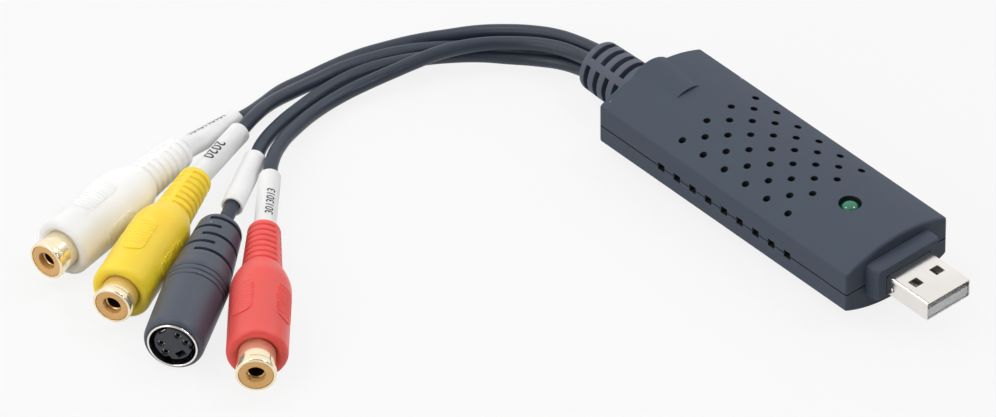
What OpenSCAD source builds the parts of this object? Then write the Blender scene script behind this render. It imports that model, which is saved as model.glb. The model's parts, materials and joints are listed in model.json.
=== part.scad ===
// Video capture box: a stick housing with a USB plug in front and a ribbed boot behind.
// Four leads run from the boot to three phono sockets and one mini-DIN socket.
// +X points out of the plug and +Z is up. The origin is on the resting surface,
// under the middle of the plug, housing and boot.

/* [Housing] */
// Width across the straight side walls
body_w = 27.7; // [25:0.1:36]
// Length of the two shells, without the collar
body_len = 73.8; // [70:0.1:90]
// Height of the straight side walls
side_h = 9.1; // [8.6:0.1:14]
// Rise of the domed top above the side walls
top_rise = 3.1; // [2.4:0.1:4.5]
// Drop of the rounded underside below the side walls
bottom_rise = 3.2; // [2.4:0.1:4.5]
// Height of the parting plane above the foot of the side walls
parting_up = 4.15; // [3.6:0.05:5]
// Wall thickness of both shells
wall = 1.6; // [1.2:0.1:2]
// Rounding of the outer edges
edge_r = 0.6; // [0.4:0.1:1.4]
// Height of the shadow line between the shells
seam_h = 0.3; // [0.1:0.05:0.6]
// Depth of the shadow line
seam_depth = 0.3; // [0.1:0.05:0.6]
// Length of the raised hump over the boot
hump_len = 11.6; // [6:0.1:14]
// Radius of the hump's round back
hump_r = 7; // [5:0.1:9]
// Height of the hump's crest above the domed top, at the rear
hump_rise = 1.2; // [0.8:0.1:1.6]
// Fall of the crest from the rear to its front end
hump_fall = 0.6; // [0:0.1:0.7]

/* [Collar] */
// Length of the collar round the plug
collar_len = 3.4; // [2:0.1:6]
// Width of the collar
collar_w = 17.2; // [15:0.1:20]
// Height of the collar above the parting plane
collar_up = 5.2; // [4:0.1:6]
// Depth of the collar below the parting plane
collar_down = 2.7; // [2.4:0.1:4]
// Rounding of the collar's edges
collar_r = 0.8; // [0.3:0.1:1.2]

/* [Vents] */
// Diameter of a vent hole
vent_d = 1.55; // [1:0.05:2.2]
// Spacing of the holes along a line
vent_pitch = 6.3; // [4.5:0.1:7]
// Spacing of the lines across the top
vent_line_pitch = 3.37; // [2.6:0.01:3.5]
// Number of lines
vent_lines = 7; // [3:2:7]
// Holes on the longer lines
vent_holes = 6; // [3:1:6]
// Distance from the front face to the first holes
vent_setback = 21.3; // [19:0.1:26]
// Length of a side slot
slot_len = 1.9; // [1:0.1:2.2]
// Height of a side slot
slot_h = 1.7; // [1:0.1:2.4]
// Spacing of the side slots
slot_pitch = 4.69; // [3.5:0.01:5]
// Number of slots on each side
slot_count = 9; // [3:1:9]
// Distance from the front face to the first slot
slot_setback = 17.5; // [14:0.1:22]

/* [Lamp] */
// Diameter of the lamp's hole
lamp_hole_d = 4.8; // [4.4:0.1:6]
// Diameter of the lamp
lamp_d = 4.2; // [3:0.1:4.2]
// Distance from the front face to the lamp
lamp_setback = 13.9; // [12:0.1:16]
// Depth of the lamp's dome below the top
lamp_recess = 0.1; // [0:0.1:1.4]
// Length of the lamp from its base to its dome
lamp_h = 4.8; // [4:0.1:6]

/* [Plug] */
// Width of the plug's metal shell
plug_w = 12; // [11:0.1:12.4]
// Height of the plug's metal shell
plug_h = 4.5; // [4.2:0.1:4.8]
// Length of plug in front of the collar
plug_len = 11.6; // [9:0.1:16]
// Length of plug behind the front face
plug_inside = 7; // [4:0.1:9]
// Height of the plug's middle above the parting plane
plug_up = 0.5; // [0:0.1:1.5]
// Thickness of the plug's sheet metal
plug_sheet = 0.3; // [0.2:0.05:0.4]
// Side of the square windows in the plug
window = 2.3; // [1.5:0.1:2.6]
// Distance from the plug's tip to the middle of the windows
window_setback = 6.4; // [4:0.1:8]
// Distance between the windows' middles
window_pitch = 5.8; // [4:0.1:6.5]
// Thickness of the white tongue
tongue_t = 2.2; // [1.6:0.1:2.4]

/* [Board] */
// Length of the circuit board
board_len = 52; // [46:0.1:54]
// Width of the circuit board
board_w = 21; // [18.9:0.1:21.5]
// Thickness of the circuit board
board_t = 1.2; // [0.8:0.1:1.6]
// Distance from the housing's front face to the board
board_setback = 2.2; // [1.9:0.1:4]
// Side of the capture chip
chip_size = 10; // [7:0.1:12]
// Side of the sound chip
audio_size = 6; // [4:0.1:7]
// Height of both chips above the board
chip_h = 1.5; // [1:0.1:2]
// Diameter of the electrolytic capacitors
cap_d = 5; // [3:0.1:5.5]
// Height of the electrolytic capacitors
cap_h = 5.4; // [3:0.1:5.8]
// Diameter of the inner hookup wires
wire_d = 1.2; // [0.6:0.1:1.6]

/* [Boot] */
// Length of boot outside the housing
boot_len = 16; // [15:0.1:22]
// Diameter of the boot at the housing
boot_d = 11.8; // [10.8:0.1:12]
// Diameter of the boot at its far end
boot_end_d = 11; // [10:0.1:11.4]
// Height of the boot's axis
boot_z = 6.25; // [6:0.05:6.6]
// Rounding of the boot's far end
boot_round = 1.2; // [0.4:0.1:1.3]
// Distance from the far end to the first slotted ring
boot_first = 1.9; // [1.4:0.1:3]
// Number of slotted rings
boot_rings = 4; // [2:1:4]
// Spacing of the slotted rings
boot_pitch = 2.85; // [2.4:0.05:3.2]
// Width of a slot
boot_slot = 1.3; // [0.8:0.1:1.6]
// Depth of a slot
boot_slot_depth = 1.5; // [0.6:0.1:1.6]
// Width of the ribs between the slots
boot_rib = 1.7; // [1:0.1:3]
// Diameter of the neck in the housing's rear wall
boot_neck_d = 8; // [6.4:0.1:8]

/* [Leads] */
// Diameter of a lead
cord_d = 3; // [2.4:0.1:3]
// Spacing of the four leads in the boot
cord_pitch = 3.3; // [3.2:0.1:3.6]
// Outer diameter of a marker sleeve
sleeve_d = 4.6; // [4.2:0.1:4.6]
// Length of a marker sleeve
sleeve_len = 17.4; // [10:0.1:18]
// Room between a lead and its sleeve
sleeve_room = 0.3; // [0.2:0.05:0.4]

/* [Phono sockets] */
// Length of the moulded body of a phono socket
phono_len = 38.9; // [38.4:0.1:41]
// Diameter of the moulded body
phono_d = 12.6; // [11:0.1:12.6]
// Bare metal in front of the white body
white_bare = 4.9; // [3:0.1:7]
// Bare metal in front of the yellow body
yellow_bare = 4.3; // [3:0.1:7]
// Bare metal in front of the red body
red_bare = 6.1; // [3:0.1:7]
// Diameter of the metal rim that takes the plug
rim_d = 8.3; // [8:0.05:8.4]
// Length of the rim
rim_len = 1.6; // [1:0.1:3]
// Diameter of the metal neck behind the rim
neck_d = 7.7; // [7.4:0.1:7.9]
// Thickness of the metal barrel
barrel_t = 0.3; // [0.2:0.05:0.4]
// Bore of the centre contact
contact_bore = 3.3; // [3.2:0.05:3.4]
// Wall of the centre contact
contact_t = 0.35; // [0.2:0.05:0.45]
// Length of the metal barrel with its rim
barrel_len = 15.8; // [12:0.1:20]
// Distance from the body's front to the start of the shoulder
phono_shoulder = 19.4; // [18:0.1:19.8]
// Length of the shoulder
shoulder_len = 6.4; // [3:0.1:6.5]
// Diameter of the ribbed tail at the shoulder
tail_d = 8.4; // [7.8:0.1:9.4]
// Diameter of the ribbed tail at the lead
tail_end_d = 6.8; // [6.4:0.1:7.6]
// Number of grooves in the tail
tail_grooves = 7; // [3:1:7]
// Spacing of the grooves
tail_pitch = 1.8; // [1.4:0.05:1.85]
// Width of a groove
tail_groove = 0.65; // [0.4:0.05:1]
// Depth of a groove
tail_depth = 0.5; // [0.3:0.1:0.8]
// Width of the two spines that cross the grooves
tail_spine = 1.3; // [1:0.1:3]
// Length of a grip pad
pad_len = 10.2; // [6:0.1:10.6]
// Width of a grip pad
pad_w = 5; // [3.5:0.1:5.6]
// Height of a grip pad above the body
pad_rise = 0.25; // [0.15:0.05:0.3]
// Distance from the body's front to the middle of the pads
pad_setback = 12.1; // [10.5:0.1:12.3]
// Number of fine ribs on a pad
pad_ribs = 11; // [5:1:12]

/* [Mini-DIN socket] */
// Length of the mini-DIN socket
din_len = 37; // [36:0.1:39]
// Diameter of the body at its waist rings
din_d = 13.1; // [12:0.1:13.1]
// Diameter of the body at its front
din_front_d = 12.6; // [12:0.1:13]
// Outer diameter of the metal ring
din_ring_d = 10.5; // [10:0.05:10.6]
// Inner diameter of the metal ring
din_ring_bore = 9.7; // [9.3:0.05:9.7]
// Diameter of the core that holds the contacts
din_core_d = 7.8; // [7.2:0.1:8]
// Depth of the gap round the core
din_depth = 7; // [5:0.1:9]
// Bore of a contact
din_contact_bore = 1; // [0.9:0.05:1.05]
// Diameter of the tail at its front
din_tail_d = 12.3; // [11.6:0.1:12.4]
// Diameter of the tail at the lead
din_tail_end_d = 9.2; // [8:0.1:10]
// Number of slots in the tail
din_slots = 5; // [3:1:5]
// Spacing of the tail's slots
din_slot_pitch = 2.85; // [2:0.05:2.9]
// Width of a tail slot
din_slot = 0.9; // [0.5:0.1:1.2]
// Depth of a tail slot
din_slot_depth = 0.9; // [0.4:0.1:1.2]

/* [Hidden] */
$fn = 64;
// Room between parts that are pressed or moulded together
seat = 0.05;
// Overlap that keeps cuts clean
cut = 1;
// Facets of the housing's arches and of its rounded edges
arch_steps = 32;
corner_steps = 4;

// Housing planes
parting_z = bottom_rise + parting_up;
top_z = bottom_rise + side_h + top_rise;
half_len = (plug_len + collar_len + body_len + boot_len) / 2;
front_x = half_len - plug_len - collar_len;
rear_x = front_x - body_len;
boot_x = rear_x - boot_len;
top_r = arch_radius(body_w / 2, top_rise);
bottom_r = arch_radius(body_w / 2, bottom_rise);
hump_z = top_z + hump_rise - hump_r;

// Plug and board
plug_z = parting_z + plug_up;
tip_x = front_x + collar_len + plug_len;
plug_back = front_x - plug_inside;
plug_round = 0.6;
board_top = plug_z - plug_h / 2;
board_front = front_x - board_setback;
board_rear = board_front - board_len;
lamp_x = front_x - lamp_setback;
lamp_top = top_z - lamp_recess;
lamp_base = lamp_top - lamp_h;

// Inner end of the boot
flange_t = 1.8;
flange_w = 14;
flange_h = 6.4;
boot_inner = rear_x + wall + flange_t;

// Sockets: middle of the front rim, direction in the plan, roll about the axis,
// gap between the socket and its sleeve, and length from the rim to the lead
WHITE = [[-79.4, -125, phono_d / 2 + pad_rise], -78.7, 4, 0.6, white_bare + phono_len];
YELLOW = [[-59.85, -124.3, phono_d / 2 + pad_rise], -63.8, 7, 0.5, yellow_bare + phono_len];
RED = [[-24.2, -116.9, phono_d / 2 + pad_rise], -43, -57, 0.4, red_bare + phono_len];
SVIDEO = [[-42.5, -123, din_d / 2], -55.7, 0, 8.4, din_len];
// Roll of the mini-DIN core in its body
DIN_TURN = 126.5;

// Lead routes between the boot and the straight run into each socket
WHITE_ROUTE = [
    [-56, 1.6, 7.3], [-60, 1, 6.9], [-64.5, 0, 6.3], [-69.5, -2, 5.4], [-74.5, -5, 4.4],
    [-79.5, -9, 3.3], [-83.5, -13.5, 2.3], [-87, -18.5, 1.7], [-89.5, -24.5, 1.6],
    [-91.5, -31, 1.6], [-92.5, -37.5, 1.6], [-93, -44, 1.6], [-93.5, -50, 1.6],
    [-92.5, -56, 1.9], [-91.5, -60.5, 2.5]];
YELLOW_ROUTE = [
    [-56, 1.6, 3.9], [-60, 1, 3.5], [-64.5, -0.5, 2.8], [-69.5, -3.5, 2.1], [-74.5, -8, 1.7],
    [-79, -13, 1.7], [-83, -18.5, 2], [-86, -24.5, 2.4], [-88, -30.5, 2.7], [-89.5, -37, 2.8],
    [-90, -43.5, 2.9], [-90, -50, 3.5], [-89, -57, 4.8], [-87, -63, 5.9]];
SVIDEO_ROUTE = [
    [-56, -1.8, 3.9], [-60, -2.8, 3.4], [-64.5, -5.2, 2.9], [-69.5, -9, 2.6], [-74, -13, 2.6],
    [-78, -18, 2.7], [-81, -23, 2.9], [-83.5, -28, 3], [-85.5, -33.5, 3], [-86.5, -39, 2.8],
    [-86.5, -45, 2.7], [-85.5, -52, 2.9], [-83.5, -59.5, 3.6], [-80.5, -66.5, 4.4]];
RED_ROUTE = [
    [-56, -1.8, 7.3], [-60, -2.7, 7], [-64.5, -4.8, 6.6], [-68.5, -7.8, 6.2], [-72.5, -12, 6],
    [-75.5, -17, 5.9], [-77.5, -21.5, 5.6], [-79, -26, 5], [-80.5, -31, 4.2], [-82, -36.5, 3.4],
    [-83, -43, 2.8], [-82.5, -50, 3], [-80.5, -57, 3.9], [-77.5, -64, 5], [-73, -70.5, 6]];

// Place of each lead in the boot, as steps of the pitch across and up
WHITE_EXIT = [0.5, 0.5];
YELLOW_EXIT = [0.5, -0.5];
SVIDEO_EXIT = [-0.5, -0.5];
RED_EXIT = [-0.5, 0.5];
cord_sides = 8;

// Colours
SHELL = [0.16, 0.18, 0.21];
CORD = [0.10, 0.12, 0.15];
NICKEL = [0.84, 0.83, 0.80];
GOLD = [0.86, 0.68, 0.30];
TAN = [0.87, 0.68, 0.40];
MILK = [0.93, 0.93, 0.91];
LEMON = [0.93, 0.80, 0.05];
CORAL = [0.84, 0.10, 0.09];
COPPER = [0.72, 0.45, 0.20];

// Radius of the arch that rises by rise over half a width
function arch_radius(half, rise) = (half * half + rise * rise) / (2 * rise);
function unit(v) = v / norm(v);
// Middle of the rounding where a side wall meets an arch of radius r, on an outline drawn in by k
function corner_x(k) = body_w / 2 - k - edge_r;
function corner_up(r, k) = sqrt(pow(r - k - edge_r, 2) - pow(corner_x(k), 2));
function corner_turn(r, k) = atan2(corner_up(r, k), corner_x(k));
// Right rounding and arch of an outline about the arch's middle, ready to be mirrored
function right_corner(r, k) = [for (i = [0 : corner_steps])
    let (a = corner_turn(r, k) * i / corner_steps)
    [corner_x(k) + edge_r * cos(a), corner_up(r, k) + edge_r * sin(a)]];
function arch(r, k) = [for (i = [1 : arch_steps - 1])
    let (a = corner_turn(r, k) + (180 - 2 * corner_turn(r, k)) * i / arch_steps)
    (r - k) * [cos(a), sin(a)]];
function vault(r, k) = concat(right_corner(r, k), arch(r, k),
    [for (i = [corner_steps : -1 : 0]) [-right_corner(r, k)[i].x, right_corner(r, k)[i].y]]);
// Rounded outline of the housing, drawn in by k
function outline(k) = concat(
    [for (p = vault(top_r, k)) [p.x, top_z - top_r + p.y]],
    [for (p = vault(bottom_r, k)) [-p.x, bottom_r - p.y]]);
// Height of the inner floor at a distance across from the middle
function floor_z(y) = bottom_r - sqrt(pow(bottom_r - wall, 2) - y * y);
// Direction in which a socket points
function pointing(socket) = [cos(socket[1]), sin(socket[1]), 0];
// Middle of a socket's rear face
function socket_rear(socket) = socket[0] - socket[4] * pointing(socket);
// Place where a lead leaves the boot
function boot_exit(place) = [boot_x, cord_pitch * place[0], boot_z + cord_pitch * place[1]];
// Unit vector along the straight run of a lead, away from its socket
function run_dir(socket, route) = unit(route[len(route) - 1] - socket_rear(socket));
// End of a sleeve that is nearer the boot
function sleeve_top(socket, route) =
    socket_rear(socket) + (socket[3] + sleeve_len) * run_dir(socket, route);
// The whole centre line of a lead
function centre_line(place, route, socket) =
    concat([boot_exit(place)], route, [sleeve_top(socket, route)], [socket_rear(socket)]);

// Section of the housing, drawn across and up, drawn in by inset all round
module body_section(inset) {
    intersection() {
        translate([-body_w / 2 + inset, 0]) square([body_w - 2 * inset, top_z]);
        translate([0, top_z - top_r]) circle(r = top_r - inset, $fn = 180);
        translate([0, bottom_r]) circle(r = bottom_r - inset, $fn = 180);
    }
}

// Lays a drawing that is across and up along +X, from x on
module along_x(x, len) {
    translate([x, 0, 0]) rotate([90, 0, 90]) linear_extrude(len) children();
}

// Closed outer form of both shells: outlines drawn in towards both ends to round the edges
module housing_form() {
    turns = [0, 22.5, 45, 67.5, 90];
    last = len(turns) - 1;
    rings = concat(
        [for (i = [last : -1 : 0]) [rear_x + edge_r * (1 - sin(turns[i])), edge_r * (1 - cos(turns[i]))]],
        [for (a = turns) [front_x - edge_r * (1 - sin(a)), edge_r * (1 - cos(a))]]);
    n = len(outline(0));
    points = [for (q = rings) for (p = outline(q[1])) [q[0], p.x, p.y]];
    walls = [for (i = [0 : len(rings) - 2], k = [0 : n - 1])
        let (a = i * n + k, b = i * n + (k + 1) % n)
        each [[a, a + n, b + n], [a, b + n, b]]];
    rear_end = [for (k = [0 : n - 1]) k];
    front_end = [for (k = [0 : n - 1]) (len(rings) - 1) * n + n - 1 - k];
    polyhedron(points, concat(walls, [rear_end], [front_end]));
}

// Hollow inside of the housing
module housing_hollow() {
    along_x(rear_x + wall, body_len - 2 * wall) body_section(wall);
}

// Space above (side = 1) or below (side = -1) the parting plane
module half_space(side) {
    big = body_len + 4 * wall + 2 * collar_len;
    translate([rear_x - wall, -body_w, side > 0 ? parting_z : parting_z - 2 * top_z])
        cube([big, 2 * body_w, 2 * top_z]);
}

// Rectangle with rounded corners, in the middle
module rounded_rect(w, h, r) {
    square([w - 2 * r, h], center = true);
    square([w, h - 2 * r], center = true);
    for (sx = [-1, 1], sy = [-1, 1])
        translate([sx * (w / 2 - r), sy * (h / 2 - r)]) circle(r = r, $fn = 32);
}

// Collar that is round the plug, on both shells
module collar_form() {
    collar_h = collar_up + collar_down;
    mid = parting_z + (collar_up - collar_down) / 2;
    thin = 0.01;
    hull() {
        along_x(front_x - wall, wall + collar_len - collar_r)
            translate([0, mid]) rounded_rect(collar_w, collar_h, collar_r);
        along_x(front_x + collar_len - thin, thin)
            translate([0, mid]) rounded_rect(collar_w - collar_r, collar_h - collar_r, collar_r);
    }
}

// Rectangular passage of the plug through the front wall and collar
module plug_passage() {
    along_x(front_x - wall - cut, wall + collar_len + 2 * cut)
        translate([0, plug_z]) square([plug_w + 2 * seat, plug_h + 2 * seat], center = true);
}

// Passage of the boot's neck through the rear wall, open up to the parting plane below it
module neck_passage() {
    r = boot_neck_d / 2 + seat;
    translate([rear_x - cut, 0, boot_z]) rotate([0, 90, 0]) cylinder(r = r, h = wall + 2 * cut);
    translate([rear_x - cut, -r, boot_z]) cube([wall + 2 * cut, 2 * r, parting_z - boot_z]);
}

// Side slots of both walls, across the parting plane
module side_slots() {
    for (i = [0 : slot_count - 1], side = [-1, 1])
        translate([front_x - slot_setback - i * slot_pitch, side * body_w / 2, parting_z])
            cube([slot_len, 2 * wall + cut, slot_h], center = true);
}

// Shadow line round the joint of the two shells
module seam_cut() {
    difference() {
        translate([rear_x - cut, -body_w, parting_z - seam_h / 2])
            cube([body_len + 2 * cut, 2 * body_w, seam_h]);
        translate([(rear_x + front_x) / 2, 0, parting_z - seam_h]) linear_extrude(2 * seam_h)
            rounded_rect(body_len - 2 * seam_depth, body_w - 2 * seam_depth, edge_r);
        translate([front_x - wall, -collar_w / 2, parting_z - seam_h])
            cube([wall + collar_len, collar_w, 2 * seam_h]);
    }
}

// Staggered vent holes: the lines take turns of the full count and one hole fewer
module vents() {
    for (line = [0 : vent_lines - 1]) {
        short = line % 2;
        y = (line - (vent_lines - 1) / 2) * vent_line_pitch;
        for (i = [0 : vent_holes - 1 - short])
            translate([front_x - vent_setback - (i + short / 2) * vent_pitch, y, parting_z + slot_h])
                cylinder(d = vent_d, h = top_z, $fn = 24);
    }
}

// Raised hump over the boot: a round back that falls towards the front
module hump_form() {
    intersection() {
        translate([rear_x, 0, hump_z]) rotate([0, 90 + atan(hump_fall / hump_len), 0])
            translate([0, 0, -hump_r]) cylinder(r = hump_r, h = hump_len + 2 * hump_r);
        translate([rear_x, -hump_r, hump_z]) cube([hump_len, 2 * hump_r, 2 * hump_r]);
    }
}

// Upper shell with vents, hump, lamp hole and the upper half of the collar
module top_shell() {
    color(SHELL) difference() {
        intersection() {
            union() {
                housing_form();
                hump_form();
                collar_form();
            }
            half_space(1);
        }
        housing_hollow();
        plug_passage();
        neck_passage();
        side_slots();
        seam_cut();
        vents();
        translate([lamp_x, 0, lamp_base]) cylinder(d = lamp_hole_d, h = top_z, $fn = 48);
    }
}

// Board supports and shell locating tabs
post_d = 3;
post_rear = 5;
post_front = 12;
tab_rear = 6;
tab_front = 10;
tab_len = 5;
tab_t = 0.9;
tab_up = 2;
tab_root = 2;

// Lower shell with board posts and locating tabs
module bottom_shell() {
    post_x = [board_rear + post_rear, board_front - post_front];
    post_y = board_w / 2 - post_d;
    tab_x = [rear_x + tab_rear, front_x - tab_front];
    tab_y = body_w / 2 - wall - seat - tab_t;
    color(SHELL) {
        difference() {
            intersection() {
                union() {
                    housing_form();
                    collar_form();
                }
                half_space(-1);
            }
            housing_hollow();
            plug_passage();
            neck_passage();
            side_slots();
            seam_cut();
        }
        for (x = post_x, side = [-1, 1])
            translate([x, side * post_y, floor_z(post_y) - wall / 2])
                cylinder(d = post_d, h = board_top - board_t - floor_z(post_y) + wall / 2, $fn = 32);
        for (x = tab_x, side = [-1, 1]) {
            translate([x, side > 0 ? tab_y : -tab_y - tab_t, parting_z - tab_root])
                cube([tab_len, tab_t, tab_root + tab_up]);
            translate([x, side > 0 ? tab_y : -tab_y - tab_t - 2 * seat, parting_z - tab_root])
                cube([tab_len, tab_t + 2 * seat, tab_root]);
        }
    }
}

// Folded sheet-metal shell of the plug with its four windows, side dimples and seam
module usb_shell() {
    dimple_r = 0.9;
    dimple_depth = 0.12;
    fold_w = 0.35;
    fold_depth = 0.12;
    len = tip_x - plug_back;
    color(NICKEL) difference() {
        along_x(plug_back, len) translate([0, plug_z]) rounded_rect(plug_w, plug_h, plug_round);
        along_x(plug_back - cut, len + 2 * cut) translate([0, plug_z])
            rounded_rect(plug_w - 2 * plug_sheet, plug_h - 2 * plug_sheet, plug_round - plug_sheet);
        for (side = [-1, 1])
            translate([tip_x - window_setback, side * window_pitch / 2, plug_z])
                cube([window, window, plug_h + cut], center = true);
        for (side = [-1, 1])
            translate([front_x + collar_len + 1.8, side * (plug_w / 2 + dimple_r - dimple_depth), plug_z])
                sphere(r = dimple_r, $fn = 32);
        translate([plug_back - cut, -plug_w / 2 + plug_round, plug_z + plug_h / 2 - fold_depth])
            cube([len + 2 * cut, fold_w, cut]);
    }
}

// White moulding inside the plug: a block behind and a tongue in the lower half
module usb_insulator() {
    w = plug_w - 2 * plug_sheet - 2 * seat;
    h = plug_h - 2 * plug_sheet - 2 * seat;
    low = plug_z - h / 2;
    tip_gap = 0.3;
    block_len = plug_inside - 1;
    len = tip_x - tip_gap - plug_back;
    color(MILK) difference() {
        along_x(plug_back, len) translate([0, plug_z]) rounded_rect(w, h, plug_round - plug_sheet);
        translate([plug_back + block_len, -plug_w, low + tongue_t]) cube([len, 2 * plug_w, h]);
        contact_rows(seat);
    }
}

// Four contact strips laid in the tongue's upper face, with room round them
contact_y = [-3.5, -1, 1, 3.5];
contact_strip_w = 1;
contact_strip_t = 0.25;
contact_tip = 1.4;

module contact_rows(room) {
    top = plug_z - plug_h / 2 + plug_sheet + seat + tongue_t;
    for (y = contact_y)
        translate([plug_back - room, y - contact_strip_w / 2 - room, top - contact_strip_t])
            cube([tip_x - contact_tip - plug_back + 2 * room, contact_strip_w + 2 * room,
                  contact_strip_t + (room > 0 ? room : 0.05)]);
}

// Plated contact strips of the plug
module usb_contacts() {
    color(GOLD) contact_rows(0);
}

// Circuit board
module circuit_board() {
    color([0.08, 0.32, 0.16])
        translate([board_rear, -board_w / 2, board_top - board_t]) cube([board_len, board_w, board_t]);
}

// Flat chip with legs on all four sides, standing on the board
module flat_chip(x, y, side, legs) {
    leg_w = 0.3;
    leg_out = 1;
    leg_t = 0.2;
    body_up = 0.1;
    pitch = (side - 2) / (legs - 1);
    translate([x, y, board_top]) {
        translate([-side / 2, -side / 2, body_up]) cube([side, side, chip_h - body_up]);
        for (turn = [0 : 90 : 270]) rotate(turn) for (i = [0 : legs - 1]) {
            place = (i - (legs - 1) / 2) * pitch - leg_w / 2;
            translate([side / 2 - leg_t, place, chip_h / 2]) cube([leg_t + leg_out / 2, leg_w, leg_t]);
            translate([side / 2 + leg_out / 2 - leg_t, place, 0]) cube([leg_t, leg_w, chip_h / 2 + leg_t]);
            translate([side / 2 + leg_out / 2 - leg_t, place, 0]) cube([leg_out / 2 + leg_t, leg_w, leg_t]);
        }
    }
}

// Layout of the board's parts: from the board's rear, from its front, and in from its side edges
chip_fore = 24;
audio_fore = 10;
cap_fore = [7, 14];
crystal_back = 12.4;
edge_line = 2.8;

// Video decoder chip
module capture_chip() {
    color([0.10, 0.10, 0.11]) flat_chip(board_rear + chip_fore, 0, chip_size, 11);
}

// Sound converter chip
module audio_chip() {
    color([0.10, 0.10, 0.11]) flat_chip(board_rear + audio_fore, 0, audio_size, 7);
}

// Quartz crystal in a flat metal can
module crystal() {
    can_len = 10;
    can_w = 3.8;
    can_h = 3.4;
    base_h = 0.5;
    base_out = 0.4;
    color(NICKEL) translate([board_front - crystal_back, board_w / 2 - edge_line, board_top]) {
        linear_extrude(can_h) rounded_rect(can_len, can_w, can_w / 2 - 0.01);
        linear_extrude(base_h)
            rounded_rect(can_len + 2 * base_out, can_w + 2 * base_out, can_w / 2 + base_out - 0.01);
    }
}

// Electrolytic cans on their square feet
module capacitors() {
    foot_h = 0.8;
    color([0.72, 0.74, 0.76]) for (fore = cap_fore, side = [-1, 1])
        translate([board_rear + fore, side * (board_w / 2 - edge_line), board_top]) {
            translate([-cap_d / 2, -cap_d / 2, 0]) cube([cap_d, cap_d, foot_h]);
            cylinder(d = cap_d - 0.3, h = cap_h);
        }
}

// Green lamp with a domed end
module led_lens() {
    r = lamp_d / 2;
    color([0.05, 0.55, 0.28]) translate([lamp_x, 0, lamp_base]) {
        cylinder(r = r, h = lamp_h - r);
        translate([0, 0, lamp_h - r]) sphere(r = r);
    }
}

// Two legs that hold the lamp above the board
module led_leads() {
    leg = 0.5;
    leg_pitch = 2.54;
    color(NICKEL) for (side = [-1, 1])
        translate([lamp_x - leg / 2, side * leg_pitch / 2 - leg / 2, board_top])
            cube([leg, leg, lamp_base - board_top]);
}

// Slots of the boot: rings that four ribs cross
module boot_slots() {
    core_r = boot_end_d / 2 - boot_slot_depth;
    for (i = [0 : boot_rings - 1])
        translate([boot_x + boot_first + i * boot_pitch, 0, boot_z])
            rotate([0, 90, 0]) difference() {
                cylinder(r = boot_d, h = boot_slot);
                translate([0, 0, -cut]) cylinder(r = core_r, h = boot_slot + 2 * cut);
                for (turn = [45, 135]) rotate(turn)
                    translate([-2 * boot_d, -boot_rib / 2, -cut])
                        cube([4 * boot_d, boot_rib, boot_slot + 2 * cut]);
            }
}

// Flexible boot: slotted outside, with a neck in the rear wall and a flange inside
module strain_relief() {
    end_r = boot_end_d / 2;
    color(SHELL) {
        difference() {
            translate([rear_x, 0, boot_z]) rotate([0, -90, 0]) rotate_extrude() polygon(concat(
                [[0, 0], [boot_d / 2, 0]],
                [for (a = [0 : 15 : 90])
                    [end_r - boot_round * (1 - cos(a)), boot_len - boot_round * (1 - sin(a))]],
                [[0, boot_len]]));
            boot_slots();
        }
        translate([rear_x, 0, boot_z]) rotate([0, 90, 0]) cylinder(d = boot_neck_d, h = wall + flange_t);
        translate([rear_x + wall + seat, -flange_w / 2, boot_z - flange_h / 2])
            cube([flange_t - seat, flange_w, flange_h]);
    }
}

// Inner wires from the boot's flange to the board
module hookup_wires() {
    count = 8;
    pitch = 1.5;
    on_board = 4;
    color(COPPER) for (i = [0 : count - 1])
        translate([boot_inner, (i - (count - 1) / 2) * pitch, board_top + wire_d / 2])
            rotate([0, 90, 0]) cylinder(d = wire_d, h = board_rear + on_board - boot_inner, $fn = 24);
}

// Tube along a route, square to the given directions at its two ends
module lead(path, first, last) {
    n = len(path);
    tangents = [for (i = [0 : n - 1]) i == 0 ? first : i == n - 1 ? last : unit(path[i + 1] - path[i - 1])];
    points = [for (i = [0 : n - 1])
        let (side = unit(cross(tangents[i], [0, 0, 1])), up = cross(side, tangents[i]))
        for (k = [0 : cord_sides - 1])
            path[i] + cord_d / 2 * (cos(360 * k / cord_sides) * side + sin(360 * k / cord_sides) * up)];
    walls = [for (i = [0 : n - 2], k = [0 : cord_sides - 1])
        let (a = i * cord_sides + k, b = i * cord_sides + (k + 1) % cord_sides)
        each [[a, b, a + cord_sides], [b, b + cord_sides, a + cord_sides]]];
    near_end = [for (k = [0 : cord_sides - 1]) cord_sides - 1 - k];
    far_end = [for (k = [0 : cord_sides - 1]) (n - 1) * cord_sides + k];
    color(CORD) polyhedron(points, concat(walls, [near_end], [far_end]));
}

module white_cord() {
    lead(centre_line(WHITE_EXIT, WHITE_ROUTE, WHITE), [-1, 0, 0], pointing(WHITE));
}

module yellow_cord() {
    lead(centre_line(YELLOW_EXIT, YELLOW_ROUTE, YELLOW), [-1, 0, 0], pointing(YELLOW));
}

module svideo_cord() {
    lead(centre_line(SVIDEO_EXIT, SVIDEO_ROUTE, SVIDEO), [-1, 0, 0], pointing(SVIDEO));
}

module red_cord() {
    lead(centre_line(RED_EXIT, RED_ROUTE, RED), [-1, 0, 0], pointing(RED));
}

// Loose marker sleeve on the straight run of a lead
module sleeve(socket, route) {
    dir = -run_dir(socket, route);
    color(MILK) translate(sleeve_top(socket, route))
        rotate([0, acos(dir.z), atan2(dir.y, dir.x)]) difference() {
            cylinder(d = sleeve_d, h = sleeve_len);
            translate([0, 0, -cut]) cylinder(d = cord_d + 2 * sleeve_room, h = sleeve_len + 2 * cut);
        }
}

module white_sleeve() {
    sleeve(WHITE, WHITE_ROUTE);
}

module yellow_sleeve() {
    sleeve(YELLOW, YELLOW_ROUTE);
}

module svideo_sleeve() {
    sleeve(SVIDEO, SVIDEO_ROUTE);
}

module red_sleeve() {
    sleeve(RED, RED_ROUTE);
}

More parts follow.
